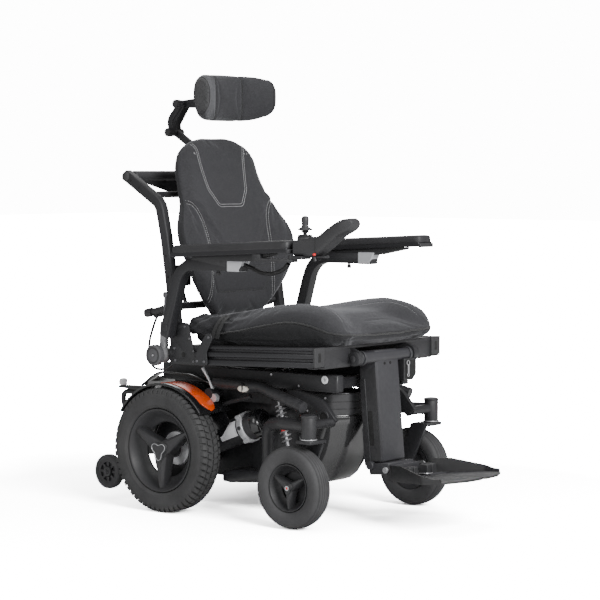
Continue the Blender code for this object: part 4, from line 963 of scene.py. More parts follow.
def make_cushion():
    form = divided_cube(11, cushion_form)
    seam = even([at(*p) for p in cushion_seam()], 0.008)
    mesh = subdivided(stuffed(form, 0.006, 0.009, 3.0, seam, 0.012))
    tree = surface_tree(mesh)
    seam_places = on_surface(tree, seam)
    for _ in range(3):                     # an even line over the cloth's small folds
        inner = [(a + b * 2 + c) / 4
                 for a, b, c in zip(seam_places, seam_places[1:], seam_places[2:])]
        seam_places = seam_places[:1] + inner + seam_places[-1:]
    creases = []
    for start, end in (((-0.236, -0.070, 0.548), (-0.222, -0.185, 0.556)),
                       ((-0.244, -0.075, 0.530), (-0.243, -0.175, 0.540)),
                       ((-0.225, -0.095, 0.553), (-0.244, -0.150, 0.528)),
                       ((-0.243, -0.120, 0.545), (-0.243, -0.190, 0.518)),
                       ((-0.200, -0.085, 0.553), (-0.236, -0.205, 0.560))):
        line = even([at(*start), at(*end)], 0.006)
        creases.append((on_surface(tree, line), 0.0045, 0.0060))
    top_lines = []
    for side in (1, -1):
        line = smooth_route([(side * 0.060, -0.250, 0.57), (side * 0.100, -0.370, 0.57),
                             (side * 0.150, -0.480, 0.58), (side * 0.172, -0.560, 0.58)], 0.01)
        top_lines.append([at(*p) for p in line])
    lines = [on_surface(tree, even(line, 0.006), (0, 0, -1)) for line in top_lines]
    border = [at(x * 0.96, y, seat_height(y, 0.040)) for x, y, _ in cushion_seam()]
    border = on_surface(tree, even(border, 0.008))
    pressed_in(mesh, [(seam_places, 0.0030, 0.0042), (border, 0.0015, 0.0030)]
               + creases + [(line, 0.0010, 0.0030) for line in lines])

    def pick(p):
        line = 0.527 if p.y < -0.575 else float(smooth_table(CUSHION_SEAM, p.y))
        outer = abs(p.x) > 0.20 or p.y < -0.56 or p.y > -0.075
        return 1 if outer and p.z < line else 0

    soft_piece(mesh, "cushion_cover", ["seat_fabric", "side_fabric"], "seat", "seat_cushion",
               pick)
    tree = surface_tree(mesh)
    make_piping("cushion_seam", on_surface(tree, seam_places, None, 0.0008), 0.0026, "seat")
    make_stitches("cushion_stitches", tree, top_lines, (0, 0, -1), "seat", 0.0060, 0.00040)


# the back
BACK_HALF = [(0.546, 0.098), (0.575, 0.132), (0.610, 0.176), (0.650, 0.208), (0.700, 0.238),
             (0.760, 0.254), (0.806, 0.256), (0.845, 0.232), (0.880, 0.201), (0.950, 0.188),
             (1.000, 0.176), (1.034, 0.157), (1.054, 0.130), (1.067, 0.096), (1.074, 0.062),
             (1.078, 0.030)]
BACK_LINE = [(0.546, -0.035), (0.616, -0.046), (0.690, -0.051), (0.800, -0.026), (0.872, -0.003),
             (0.953, 0.023), (1.030, 0.041), (1.071, 0.047)]
BACK_WING = [(0.546, 0.002), (0.620, 0.016), (0.690, 0.026), (0.800, 0.036), (0.860, 0.024),
             (0.900, 0.012), (1.071, 0.006)]


def back_front(x, z):
    """Depth of the padded back's front face."""
    share = min(1.0, abs(x) / float(smooth_table(BACK_HALF, z)))
    rib = min(1.0, max(0.0, (abs(x) - 0.132) / 0.05)) if z < 0.885 else 0.0
    low = 1.0 if z < 0.84 else max(0.0, (0.885 - z) / 0.045)
    return (float(smooth_table(BACK_LINE, z)) - float(smooth_table(BACK_WING, z)) * share ** 2
            - 0.006 * math.sin(math.pi * rib) * low)


def back_form(u, v, w):
    w = math.sin(w * math.pi / 2)
    z = 0.8125 + 0.2630 * w
    x = u * float(smooth_table(BACK_HALF, z)) * 0.985
    front = back_front(x, z)
    thick = 0.040 - 0.010 * (z < 0.70)
    edge = max(0.0, abs(u) - 0.88) / 0.12
    end = max(0.0, abs(w) - 0.93) / 0.07
    y = front + 0.006 + thick * (v + 1) / 2
    y += (0.010 * edge ** 2 + 0.010 * end ** 2) * (1 if v < 0 else -0.5)
    return x, y, z


BOLSTER = [(0.196, 0.884), (0.176, 0.880), (0.158, 0.862), (0.145, 0.832), (0.138, 0.790),
           (0.135, 0.740), (0.134, 0.680), (0.138, 0.630), (0.146, 0.590)]
TRAY_SEAM = [(-0.135, 0.682), (-0.106, 0.622), (0.106, 0.622), (0.135, 0.682)]
POCKET_SEAM = [(-0.134, 0.698), (-0.100, 0.692), (0.100, 0.692), (0.134, 0.698)]
STITCH_U = [(-0.112, 1.066), (-0.101, 1.030), (-0.092, 0.970), (-0.082, 0.918), (-0.050, 0.872),
            (0.050, 0.872), (0.082, 0.918), (0.092, 0.970), (0.101, 1.030), (0.112, 1.066)]


def offset_line(points, distance):
    """A 2D line moved sideways."""
    points = [Vector(p) for p in points]
    result = []
    for i, point in enumerate(points):
        along = (points[min(i + 1, len(points) - 1)] - points[max(i - 1, 0)]).normalized()
        result.append(point + Vector((-along.y, along.x)) * distance)
    return result


def on_back(line):
    return [at(p[0], -0.1, p[1]) for p in line]


def make_back():
    form = divided_cube(13, back_form)
    bolsters = [smooth_route([(x, z, 0) for x, z in line], 0.01)
                for line in (BOLSTER, [(-x, z) for x, z in BOLSTER])]
    bolsters = [[(p.x, p.y) for p in line] for line in bolsters]
    tray = rounded(TRAY_SEAM, 0.012)
    pocket = rounded(POCKET_SEAM, 0.02)
    held = []
    for line in bolsters + [tray]:
        held += [(p.x, back_front(p.x, p.y) + 0.006 + AXLE_Y, p.y)
                 for p in even([Vector((q[0], q[1])) for q in line], 0.006)]
    mesh = subdivided(stuffed(form, 0.006, 0.008, 3.5, held, 0.010))
    tree = surface_tree(mesh)

    def laid(line):
        return on_surface(tree, even(on_back(line), 0.005), (0, 1, 0))

    u_line = rounded(STITCH_U, 0.016)
    rows = [offset_line(u_line, d) for d in (-0.0036, 0.0036)]
    side_rows = [offset_line(line, d) for line in bolsters for d in (-0.0045, 0.0045)]
    pressed_in(mesh, [(laid(line), 0.0034, 0.0040) for line in bolsters]
               + [(laid(tray), 0.0024, 0.0034), (laid(pocket), 0.0018, 0.0032),
                  (laid(u_line), 0.0012, 0.0050)])

    def pick(p):
        half = float(smooth_table(BACK_HALF, p.z))
        deep = p.y - back_front(min(abs(p.x), half), p.z)
        return 1 if deep > 0.022 else 0

    soft_piece(mesh, "back_cover", ["seat_fabric", "side_fabric"], "back", "back_pad", pick)
    tree = surface_tree(mesh)
    make_stitches("back_stitches", tree, [on_back(row) for row in rows], (0, 1, 0), "back",
                  0.0054, 0.00080)
    make_stitches("bolster_stitches", tree, [on_back(row) for row in side_rows], (0, 1, 0), "back",
                  0.0060, 0.00055)
    for number, line in enumerate(bolsters + [tray, pocket]):
        places = on_surface(tree, even(on_back(line), 0.004), (0, 1, 0), 0.0001)
        make_piping(f"back_seam_{number}", places, 0.0009, "back")


# the headrest
HEAD_MIDDLE = Vector((0, 0.036, 1.184))
HEAD_HALF, HEAD_WRAP = 0.154, 0.064     # half width, and how far the ends come forward
HEAD_SEAM_X = 0.058


def headrest_form(u, v, w):
    """A wrap-round pad whose section grows rounder towards its ends."""
    span = abs(u)
    x = u * HEAD_HALF
    wrap = HEAD_WRAP * span ** 2.0
    oval = 0.35 + 0.60 * max(0.0, span - 0.35) / 0.65
    across = v * (1 - oval * (1 - math.sqrt(1 - w * w / 2)))
    up = w * (1 - oval * (1 - math.sqrt(1 - v * v / 2)))
    tip = math.sqrt(max(0.0, 1 - 0.30 * (max(0.0, span - 0.72) / 0.28) ** 2))
    half_y = (0.026 + 0.010 * span ** 2) * tip
    half_z = 0.0675 * tip
    rise = 0.5 - 0.5 * up                  # the underside climbs towards both ends
    z = HEAD_MIDDLE.z + 0.003 - 0.004 * span + half_z * up + 0.017 * span ** 3 * rise
    return x, HEAD_MIDDLE.y - wrap + half_y * across, z


def headrest_ring(x, lift=0.0):
    """A loop round the headrest at a distance from its middle."""
    wrap = HEAD_WRAP * abs(x / HEAD_HALF) ** 2.0
    half_z, half_y = 0.0655 + lift, 0.028 + lift
    loop = rounded([(-half_y, -half_z), (half_y, -half_z), (half_y, half_z), (-half_y, half_z)],
                   0.024, closed=True)
    return [at(x, HEAD_MIDDLE.y - wrap + p[0], HEAD_MIDDLE.z + p[1]) for p in loop]


def make_headrest():
    """The stuffed headrest, with its sewn grooves and piping."""
    form = divided_cube(9, headrest_form)
    rings = [even(headrest_ring(side * HEAD_SEAM_X) + headrest_ring(side * HEAD_SEAM_X)[:1], 0.004)
             for side in (1, -1)]
    held = [p for ring in rings for p in ring]
    mesh = subdivided(stuffed(form, 0.005, 0.007, 4.0, held, 0.012))
    tree = surface_tree(mesh)
    pressed_in(mesh, [(on_surface(tree, ring), 0.0040, 0.0050) for ring in rings])
    soft_piece(mesh, "headrest_cover", ["seat_fabric", "mesh_fabric"], "headrest", "headrest_pad",
               lambda p: 1 if abs(p.x) > 0.1475 else 0)
    tree = surface_tree(mesh)
    for number, ring in enumerate(rings):
        make_piping(f"headrest_seam_{number}", on_surface(tree, ring, None, 0.0004), 0.0014,
                    "headrest")
    for side_name, side in SIDES.items():
        loop = headrest_ring(side * 0.146, -0.004)
        loop = even(loop + loop[:1], 0.004)
        places = on_surface(tree, loop, None, 0.0004)
        make_piping(f"headrest_end_piping_{side_name}", places, 0.0016, "headrest")


# the arm pads
def make_armpad(side_name, side):
    """A crowned pad on a flat metal channel."""
    centre = from_axle(middle(f"armpad_{side_name}"))
    slope = math.radians(-3.1)
    half_long = 0.2135
    rings = []
    for step in range(41):
        share = -1 + 2 * step / 40
        end = max(0.0, (abs(share) - 0.90) / 0.10)
        shrink = math.sqrt(max(0.0, 1 - end ** 2.6)) * 0.22 + 0.78
        half, top = 0.0338 * shrink, 0.0160 * (0.55 + 0.45 * shrink)
        ring = []
        for k in range(28):
            a = math.tau * k / 28
            c, s = math.cos(a), math.sin(a)
            x = half * math.copysign(abs(c) ** 0.45, c)
            z = top * abs(s) ** 0.55 if s > 0 else -0.0085 * abs(s) ** 0.35
            y = share * half_long
            ring.append(Vector((centre.x + x, centre.y + y * math.cos(slope) - z * math.sin(slope),
                                centre.z + 0.0020 + y * math.sin(slope) + z * math.cos(slope))))
        rings.append(ring)
    pad = Shape().ring_strip(rings).make(f"arm_cushion_{side_name}", "pad_foam",
                                         f"armrest_{side_name}", levels=1, sharp=180)
    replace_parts(pad, f"armpad_{side_name}")
    shape = Shape().box((centre.x - 0.0324, centre.y - 0.2105, centre.z - 0.0160),
                        (centre.x + 0.0324, centre.y + 0.2105, centre.z - 0.0024), turn_x=slope)
    shape.make(f"arm_channel_{side_name}", "anodised", f"armrest_{side_name}", bevel=0.0020)
    spacer = Shape().box((side * ARM_X - 0.013, -0.412, 0.7370),
                         (side * ARM_X + 0.013, -0.150, 0.7480),
                         turn_x=slope)
    spacer.make(f"arm_spacer_{side_name}", "black_metal", f"armrest_{side_name}", bevel=0.0010)


def make_soft_goods():
    """The cushion, back, headrest and arm pads."""
    make_cushion()
    make_back()
    make_headrest()
    for side_name, side in SIDES.items():
        make_armpad(side_name, side)


# ---------------------------------------------------------------- base trim

MOTOR_REAR, MOTOR_FRONT = Vector((0.1495, -0.030, 0.182)), Vector((0.1495, -0.236, 0.259))


def on_side(point, side):
    return Vector((point[0] * side, point[1], point[2]))


def make_motor_trim(side_name, side):
    """A motor's clamp ring with its lug and screw, the glossy end bell and a blank label."""
    rear, front = on_side(MOTOR_REAR, side), on_side(MOTOR_FRONT, side)
    along = (front - rear).normalized()
    out = Vector((side, 0, 0))
    up = along.cross(out) * -side
    ring_at = rear + along * 0.186
    ring = Shape().turned([(0.0398, -0.0100), (0.0440, -0.0100), (0.0450, -0.0085),
                           (0.0450, 0.0085), (0.0440, 0.0100), (0.0398, 0.0100)],
                          ring_at, axis=along, closed=True, sides=64)
    lug = ring_at + (out * 0.72 - up * 0.70) * 0.046
    ring.rod(lug - along * 0.010, lug + along * 0.010, 0.0065, sides=20)
    lug = ring_at + (out * 0.55 + up * 0.84) * 0.046
    ring.rod(lug - along * 0.010, lug + along * 0.010, 0.0065, sides=20)
    ring.make(f"motor_ring_{side_name}", "silver_metal", "chassis", bevel=0.0005)
    screw = ring_at + out * 0.0445
    Shape().rod(screw, screw + out * 0.0030, 0.0062, 0.0052, sides=24).make(
        f"motor_ring_screw_{side_name}", "black_plastic", "chassis", bevel=0.0004)
    bell = Shape().turned([(0.0385, 0.0), (0.0392, 0.004), (0.0388, 0.036), (0.0368, 0.046),
                           (0.0310, 0.051), (0.0120, 0.0525), (0.0, 0.0525)],
                          ring_at + along * 0.010, axis=along, sides=64)
    bell.make(f"motor_bell_{side_name}", "gloss_plastic", "chassis")
    rows = []
    for step in range(13):
        angle = math.radians(-8 - 34 + 68 * step / 12)
        spoke = out * math.cos(angle) + up * math.sin(angle)
        rows.append([rear + along * d + spoke * r for d, r in
                     ((0.104, 0.0393), (0.104, 0.0401), (0.168, 0.0401), (0.168, 0.0393))])
    Shape().ring_strip(rows).make(f"motor_label_{side_name}", "label", "chassis", sharp=30)
    Shape().turned([(0.0, 0.1935), (0.1000, 0.1935), (0.1060, 0.1990), (0.1070, 0.2100),
                    (0.1000, 0.2180), (0.0, 0.2240)], (0, 0, DRIVE_R), axis=(side, 0, 0),
                   sides=64).make(f"brake_drum_{side_name}", "black_metal", "chassis",
                                  bevel=0.0010)
    Shape().turned([(0.0, 0.2242), (0.0460, 0.2242), (0.0500, 0.2275), (0.0480, 0.2350),
                    (0.0300, 0.2385), (0.0, 0.2385)], (0, 0, DRIVE_R), axis=(side, 0, 0),
                   sides=64).make(f"brake_housing_{side_name}", "silver_metal", "chassis",
                                  bevel=0.0006)


def make_shock(side_name, side):
    """A coil spring over its damper rod, with a red bush between the two halves."""
    top, bottom = Vector((side * 0.1520, -0.312, 0.348)), Vector((side * 0.1520, -0.352, 0.190))
    along = (bottom - top).normalized()
    rods = Shape().rod(top, bottom, 0.0052).rod(top - along * 0.008, top + along * 0.012, 0.0130)
    rods.rod(bottom - along * 0.012, bottom + along * 0.006, 0.0130)
    rods.rod(top + Vector((side * -0.016, 0, 0)), top + Vector((side * 0.016, 0, 0)), 0.0070)
    rods.make(f"shock_rod_{side_name}", "screw", "chassis", bevel=0.0006)
    coil = helix(top + along * 0.032, along, 0.0135, 0.0125, 8.4)
    Shape().swept(coil, 0.0024, 8).make(f"shock_spring_{side_name}", "dull_metal", "chassis")
    bush = top + along * 0.098
    Shape().rod(bush, bush + along * 0.009, 0.0105).make(
        f"shock_bush_{side_name}", "red", "chassis", bevel=0.0006)


def arch_point(x, angle, radius):
    """A point over the drive wheel, by angle from straight back and distance from the axle."""
    turn = math.radians(angle)
    return Vector((x, radius * math.cos(turn), DRIVE_R + radius * math.sin(turn)))


def make_fender_trim(side_name, side):
    """The inlays on a mudguard, its outer lip, and the dark panels between it and the base."""
    def strip(first, last, name, look, blunt):
        rows = []
        for step in range(41):
            share = step / 40
            angle = first + (last - first) * share
            tip = math.sqrt(max(0.0, 1 - max(0.0, (share - 0.86) / 0.14) ** 2))
            start = 1.0 if blunt else min(1.0, 0.30 + 1.6 * share)
            near = 0.2215 + 0.026 * (1 - tip)
            far = near + 0.001 + (0.2740 - near) * start * tip
            rows.append([arch_point(side * x, angle, 0.1900 + lift) for x, lift in
                         ((near, 0.0003), (near, 0.0018), (far, 0.0018), (far, 0.0003))])
        Shape().ring_strip(rows).make(name, look, "chassis", bevel=0.0005)
    strip(63, 141.5, f"fender_orange_{side_name}", "orange", False)
    strip(62, 50, f"fender_pale_{side_name}", "fender_pale", True)
    lip = [arch_point(side * 0.2975, angle, 0.1890) for angle in np.linspace(33, 142, 70)]
    Shape().swept(lip, 0.0032, 10).make(f"fender_lip_{side_name}", "gloss_plastic", "chassis")
    rows = [[arch_point(side * x, angle, radius) for x, radius in
             ((0.1655, 0.1890), (0.1655, 0.1870), (0.2152, 0.1870), (0.2152, 0.1890))]
            for angle in np.linspace(50, 143, 40)]
    Shape().ring_strip(rows).make(f"arch_liner_{side_name}", "gloss_plastic", "chassis")
    wall = [arch_point(0, angle, 0.1868)[1:] for angle in np.linspace(60, 143, 24)]
    wall += [(-0.168, 0.262), (-0.140, 0.222), (-0.075, 0.172), (-0.060, 0.105), (0.118, 0.105),
             (0.150, 0.230)]
    panel = Shape().flat([tuple(p) for p in wall], "x", side * 0.1905, side * 0.1925)
    panel.make(f"motor_side_panel_{side_name}", "gloss_plastic", "chassis", bevel=0.0004)


def make_base_trim():
    """The small parts around the chassis."""
    for side_name, side in SIDES.items():
        make_motor_trim(side_name, side)
        make_shock(side_name, side)
        make_fender_trim(side_name, side)
        washer = Shape().turned([(0.0042, 0.0002), (0.0108, 0.0002), (0.0114, 0.0018),
                                 (0.0100, 0.0030), (0.0048, 0.0030), (0.0042, 0.0022)],
                                (side * 0.165, -0.492, 0.400), axis=(side, 0, 0), closed=True)
        washer.make(f"beam_washer_{side_name}", "label", "chassis")
        screws = Shape()
        for y, z in ((-0.492, 0.400), (-0.300, 0.404), (-0.180, 0.378), (-0.400, 0.378)):
            screws.rod((side * 0.1650, y, z), (side * 0.1672, y, z), 0.0036, sides=6)
        screws.make(f"beam_screws_{side_name}", "screw", "chassis")
        lamp = Vector((side * 0.192, 0.250, 0.350))
        Shape().turned([(0.0, 0.0150), (0.0080, 0.0125), (0.0118, 0.0060), (0.0122, -0.0060),
                        (0.0100, -0.0100), (0.0, -0.0110)], lamp, axis=(side * 0.75, 0.6, 0.1),
                       sides=40).make(f"tail_lamp_{side_name}", "clear_lens", "chassis")
        rings = []
        for level, share in ((0.0, 1.0), (0.0045, 0.94), (0.0062, 0.70)):
            rings.append([Vector((side * (0.2235 + level), -0.246 + 0.0190 * share * math.cos(a),
                                  0.364 + 0.0095 * share * math.sin(a)))
                          for a in (math.tau * k / 36 for k in range(36))])
        Shape().ring_strip(rings).make(f"side_reflector_{side_name}", "amber_lens", "chassis",
                                       sharp=30)
        boss = Shape().rod((side * 0.190, -0.262, 0.366), (side * 0.2236, -0.236, 0.366), 0.0145)
        boss.rod((side * 0.176, -0.112, 0.342), (side * 0.222, -0.112, 0.342), 0.0150)
        boss.rod((side * 0.176, -0.095, 0.300), (side * 0.196, -0.250, 0.340), 0.0060)
        boss.make(f"link_bosses_{side_name}", "black_metal", "chassis", bevel=0.0015)
        lever = Shape().rod((side * 0.2050, -0.078, 0.412), (side * 0.2050, -0.106, 0.372), 0.0062,
                            0.0034)
        lever.rod((side * 0.2050, -0.106, 0.372), (side * 0.2080, -0.124, 0.338), 0.0050)
        lever.rod((side * 0.2050, -0.128, 0.330), (side * 0.2200, -0.128, 0.330), 0.0125)
        lever.make(f"release_lever_{side_name}", "silver_metal", "chassis", bevel=0.0005)
        head = Shape().turned([(0.0, 0.3185), (0.0150, 0.3180), (0.0222, 0.3150), (0.0226, 0.3120),
                               (0.0210, 0.3090), (0.0, 0.3090)], (side * STEM.x, STEM.y, 0),
                              axis=(0, 0, 1))
        head.make(f"stem_cap_{side_name}", "black_metal", "chassis")
        Shape().turned([(0.0, 0.2488), (0.0228, 0.2488), (0.0232, 0.2500), (0.0228, 0.2512),
                        (0.0, 0.2512)], (side * STEM.x, STEM.y, 0), axis=(0, 0, 1)).make(
            f"stem_ring_{side_name}", "screw", "chassis")
        ring = Shape().turned([(0.0125, -0.0080), (0.0185, -0.0080), (0.0190, 0.0), (0.0180, 0.0022),
                               (0.0135, 0.0022), (0.0125, 0.0)], (side * 0.188, -0.505, 0.300),
                              axis=(side, 0, 0), closed=True, sides=48)
        ring.make(f"casting_ring_{side_name}", "black_metal", "chassis")
        Shape().rod((side * 0.1860, -0.505, 0.300), (side * 0.1884, -0.505, 0.300), 0.0128).make(
            f"casting_hole_{side_name}", "hole", "chassis")
    make_front_trim()


def nose_line(inset):
    """The plan outline of the front casing's recessed band, drawn in by an inset."""
    half, nose = 0.097 - inset, -0.4905 + inset
    return rounded([(-half, -0.3560), (-half, nose + 0.040), (-half * 0.52, nose),
                    (half * 0.52, nose), (half, nose + 0.040), (half, -0.3560)], 0.034, steps=8)


def make_front_trim():
    """The grooved band round the top of the front casing, its edge line and its screws."""
    band = Shape()
    for low, high in ((0.2925, 0.3097), (0.3103, 0.3297), (0.3303, 0.3515)):
        outer = [tuple(p) for p in nose_line(-0.0016)]
        inner = [tuple(p) for p in nose_line(0.0026)]
        band.flat(outer + inner[::-1], "z", low, high)
    band.flat([tuple(p) for p in nose_line(0.0030)], "z", 0.3495, 0.3512)
    band.make("front_band", "black_plastic", "chassis", bevel=0.0006)
    for side_name, side in SIDES.items():
        low, high = sorted((side * 0.1290, side * 0.1310))
        Shape().box((low, -0.3440, 0.3150), (high, 0.1000, 0.3655)).make(
            f"base_side_cover_{side_name}", "black_plastic", "chassis")
    edge = [(p[0], p[1], 0.3535) for p in nose_line(-0.0010)]
    Shape().swept(edge, 0.0013, 8).make("front_band_edge", "anodised", "chassis")
    screws = Shape()
    for side in (1, -1):
        for y, z in ((-0.440, 0.301), (-0.376, 0.301), (-0.440, 0.341)):
            screws.rod((side * 0.0900, y, z), (side * 0.1002, y, z), 0.0034, sides=16)
    screws.make("front_band_screws", "screw", "chassis", bevel=0.0004)


# ---------------------------------------------------------------- seat trim


def sloped(x, y, above):
    """A point given by its height over the seat rails' middle."""
    return Vector((x, y, seat_height(y, above)))


def bolt_heads(shape, x, side, places, radius=0.0042, height=0.0022):
    """Round heads that stand out from one side."""
    for y, z in places:
        shape.rod((x, y, z), (x + side * height, y, z), radius, radius * 0.85, sides=20)
    return shape


def make_seat_trim():
    """The small parts around the seat frame."""
    for side_name, side in SIDES.items():
        outline = rounded([(-0.121, 0.429), (-0.172, 0.429), (-0.168, 0.466), (-0.190, 0.505),
                           (-0.184, 0.520), (-0.168, 0.520), (-0.146, 0.490), (-0.130, 0.462)],
                          0.010, closed=True)
        bracket = Shape().flat(outline, "x", side * 0.2880, side * 0.2925)
        bracket.make(f"side_bracket_{side_name}", "black_metal", "seat", bevel=0.0009)
        bolts = bolt_heads(Shape(), side * 0.2925, side,
                           [(-0.133, 0.440), (-0.160, 0.440), (-0.177, 0.509)])
        bolt_heads(bolts, side * 0.2740, side,
                   [(-0.104, 0.436), (-0.104, 0.466), (-0.034, 0.436), (-0.030, 0.470),
                    (-0.070, 0.533), (-0.088, 0.500)])
        bolts.make(f"seat_bolts_{side_name}", "dark_screw", "seat", bevel=0.0004)
        Shape().rod((side * 0.2690, -0.065, 0.454), (side * 0.2742, -0.065, 0.454), 0.0068).make(
            f"side_plate_hole_{side_name}", "hole", "seat")
        end = Shape().box(sloped(side * 0.267, -0.5555, -0.0265) - Vector((0.0208, 0, 0)),
                          sloped(side * 0.267, -0.5490, 0.0272) + Vector((0.0208, 0, 0)))
        end.box(sloped(side * 0.2665, -0.5560, -0.030) - Vector((0.0235, 0, 0)),
                sloped(side * 0.2665, -0.5300, -0.0268) + Vector((0.0235, 0, 0)))
        end.make(f"rail_end_{side_name}", "black_plastic", "seat", bevel=0.0012)
        slot = Shape().box(sloped(side * 0.267, -0.5563, -0.012) - Vector((0.005, 0, 0)),
                           sloped(side * 0.267, -0.5550, 0.012) + Vector((0.005, 0, 0)))
        slot.make(f"rail_end_slot_{side_name}", "hole", "seat")
        screw = Shape().turned([(0.0, 0.1395), (0.0085, 0.1395), (0.0100, 0.1420),
                                (0.0060, 0.1440), (0.0, 0.1440)],
                               tuple(LEG_PIVOT), axis=(side, 0, 0), sides=32)
        screw.make(f"hinge_screw_{side_name}", "black_metal", "seat")
    box = Shape()
    box.flat(rounded([(0.070, 0.448), (0.128, 0.448), (0.128, 0.402), (0.112, 0.386),
                      (0.070, 0.386)],
                     0.003, closed=True), "y", -0.588, -0.548)
    box.make("clip_box", "black_metal", "seat", bevel=0.0015)
    Shape().flat(rounded([(0.076, 0.442), (0.122, 0.442), (0.122, 0.405), (0.108, 0.392),
                          (0.076, 0.392)], 0.003, closed=True), "y", -0.5886, -0.5878).make(
        "clip_box_mouth", "hole", "seat")
    clip = Shape().swept(helix((0.084, -0.592, 0.436), (0, 1, 0), 0.0062, 0.0, 1), 0.0011, 8)
    clip.box((0.0815, -0.5935, 0.4050), (0.0875, -0.5915, 0.4310))
    clip.swept(helix((0.0845, -0.592, 0.402), (0, 1, 0), 0.0045, 0.0, 1), 0.0010, 8)
    clip.make("hanging_clip", "screw", "seat", bevel=0.0004)
    strap = Shape()
    path = smooth_route([(-0.228, -0.196, 0.5680), (-0.246, -0.190, 0.5520),
                         (-0.2500, -0.176, 0.5260),
                         (-0.2485, -0.168, 0.5020)], 0.004)
    for shift in (0.0, 0.012):
        strap.ring_strip([[Vector(p) + Vector((a, shift + b, 0)) for a, b in
                           ((-0.0010, -0.0085), (0.0010, -0.0085), (0.0010, 0.0085),
                            (-0.0010, 0.0085))] for p in path])
    strap.make("cushion_strap", "webbing", "seat")


def make_cushion_bunch():
    """The gathered end of the cushion's cover at the rear right corner."""
    rings = []
    for i in range(29):
        share = i / 28
        angle_y = math.pi * share
        y = -0.050 - 0.130 * (1 - math.cos(angle_y)) / 2
        swell = math.sin(angle_y) ** 0.55
        ring = []
        for k in range(40):
            a = math.tau * k / 40
            fold = (0.0030 * math.sin(3 * a + 9 * share) + 0.0024 * math.sin(5 * a - 17 * share + 1.3)
                    + 0.0014 * math.sin(9 * a + 26 * share)) * swell
            ring.append(Vector((-0.2275 + (0.0200 * swell + fold) * math.cos(a), y,
                                0.5290 + 0.018 * share + (0.0290 * swell + fold) * math.sin(a))))
        rings.append(ring)
    bunch = Shape().ring_strip(rings).make("cushion_cover_bunch", "seat_fabric", "seat", levels=1,
                                           sharp=180)


# ---------------------------------------------------------------- back trim


def cane_point(z):
    """Depth of a back cane's middle at a height."""
    return float(np.interp(z, [0.442, 0.783, 0.880, 0.964], [-0.015, 0.037, 0.059, 0.197]))


def make_back_trim():
    """The small parts around the back frame and the headrest's bar."""
    for side_name, side in SIDES.items():
        x = side * 0.2452
        holes = Shape()
        for z in (0.560, 0.615, 0.670, 0.730, 0.925, 0.945):
            holes.rod((x - side * 0.001, cane_point(z), z), (x + side * 0.0004, cane_point(z), z),
                      0.0034, sides=20)
        holes.make(f"cane_holes_{side_name}", "hole", "back")
        end = Shape().turned([(0.0, 0.2490), (0.0100, 0.2490), (0.0140, 0.2462), (0.0145, 0.2380),
                              (0.0, 0.2380)], (0, 0.186, 0.957), axis=(side, 0, 0), sides=48)
        end.turned([(0.0, 0.2110), (0.0070, 0.2110), (0.0085, 0.2090), (0.0085, 0.2000),
                    (0.0, 0.2000)], (0, 0.105, 0.556), axis=(side, 0, 0), sides=32)
        end.make(f"bar_ends_{side_name}", "black_plastic", "back")
    Shape().rod((-0.214, 0.186, 0.957), (0.214, 0.186, 0.957), 0.0165, sides=40).make(
        "push_bar_grip", "black_plastic", "back", bevel=0.0030)
    lever = Shape().rod((-0.2355, 0.030, 0.581), (-0.2355, 0.094, 0.566), 0.0108, 0.0086)
    lever.rod((-0.2355, 0.090, 0.5670), (-0.2355, 0.115, 0.5615), 0.0128)
    lever.make("back_release_lever", "black_plastic", "back", bevel=0.0015)
    gusset = Shape().flat([(-0.205, 0.946), (0.205, 0.946), (0.060, 0.908), (-0.060, 0.908)], "y",
                          0.176, 0.180)
    gusset.make("push_bar_gusset", "black_metal", "back", bevel=0.0010)
    block = Shape().box((-0.190, 0.044, 0.640), (-0.120, 0.074, 0.700))
    block.box((0.120, 0.044, 0.640), (0.190, 0.074, 0.700))
    block.rod((-0.160, 0.052, 0.650), (-0.160, 0.030, 0.592), 0.0060)
    block.rod((0.160, 0.052, 0.650), (0.160, 0.030, 0.592), 0.0060)
    block.make("back_shell_mounts", "black_metal", "back", bevel=0.0020)


ACTUATOR_CABLE = [(-0.2640, 0.0440, 0.5600), (-0.2740, 0.0500, 0.5300), (-0.2850, 0.0560, 0.4850),
                  (-0.2850, 0.0560, 0.4400), (-0.2840, 0.0380, 0.4120), (-0.2760, 0.0080, 0.4085),
                  (-0.2645, -0.0120, 0.4200)]


def make_recline_trim():
    """The motor's grey cap, the tube's clamp and the cable's outer sleeve."""
    sleeve = Shape().swept(smooth_route(ACTUATOR_CABLE, 0.004), 0.0036, 10)
    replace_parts(sleeve.make("actuator_cable_sleeve", "cable", "back"), "actuator_cable")
    centre = (0.0, 0.023, 0.449)
    cap = Shape().turned([(0.0, 0.3055), (0.0040, 0.3055), (0.0050, 0.3070), (0.0265, 0.3070),
                          (0.0298, 0.3048), (0.0304, 0.3000), (0.0304, 0.2900), (0.0295, 0.2893),
                          (0.0, 0.2893)], centre, axis=(-1, 0, 0), sides=64)
    cap.make("recline_motor_cap", "motor_grey", "recline_body")
    Shape().turned([(0.0195, 0.3060), (0.0240, 0.3060), (0.0240, 0.3076), (0.0195, 0.3076)], centre,
                   axis=(-1, 0, 0), closed=True, sides=48).make(
        "recline_motor_face", "black_plastic", "recline_body")
    Shape().turned([(0.0, 0.3078), (0.0030, 0.3076), (0.0034, 0.3060), (0.0, 0.3060)], centre,
                   axis=(-1, 0, 0), sides=20).make("recline_motor_screw", "screw", "recline_body")
    low, high = Vector((-0.262, 0.023, 0.449)), Vector((-0.262, 0.012, 0.620))
    along = (high - low).normalized()
    Shape().rod(low + along * 0.020, low + along * 0.094, 0.0128, sides=32).make(
        "recline_tube_cover", "dull_metal", "recline_body", bevel=0.0010)


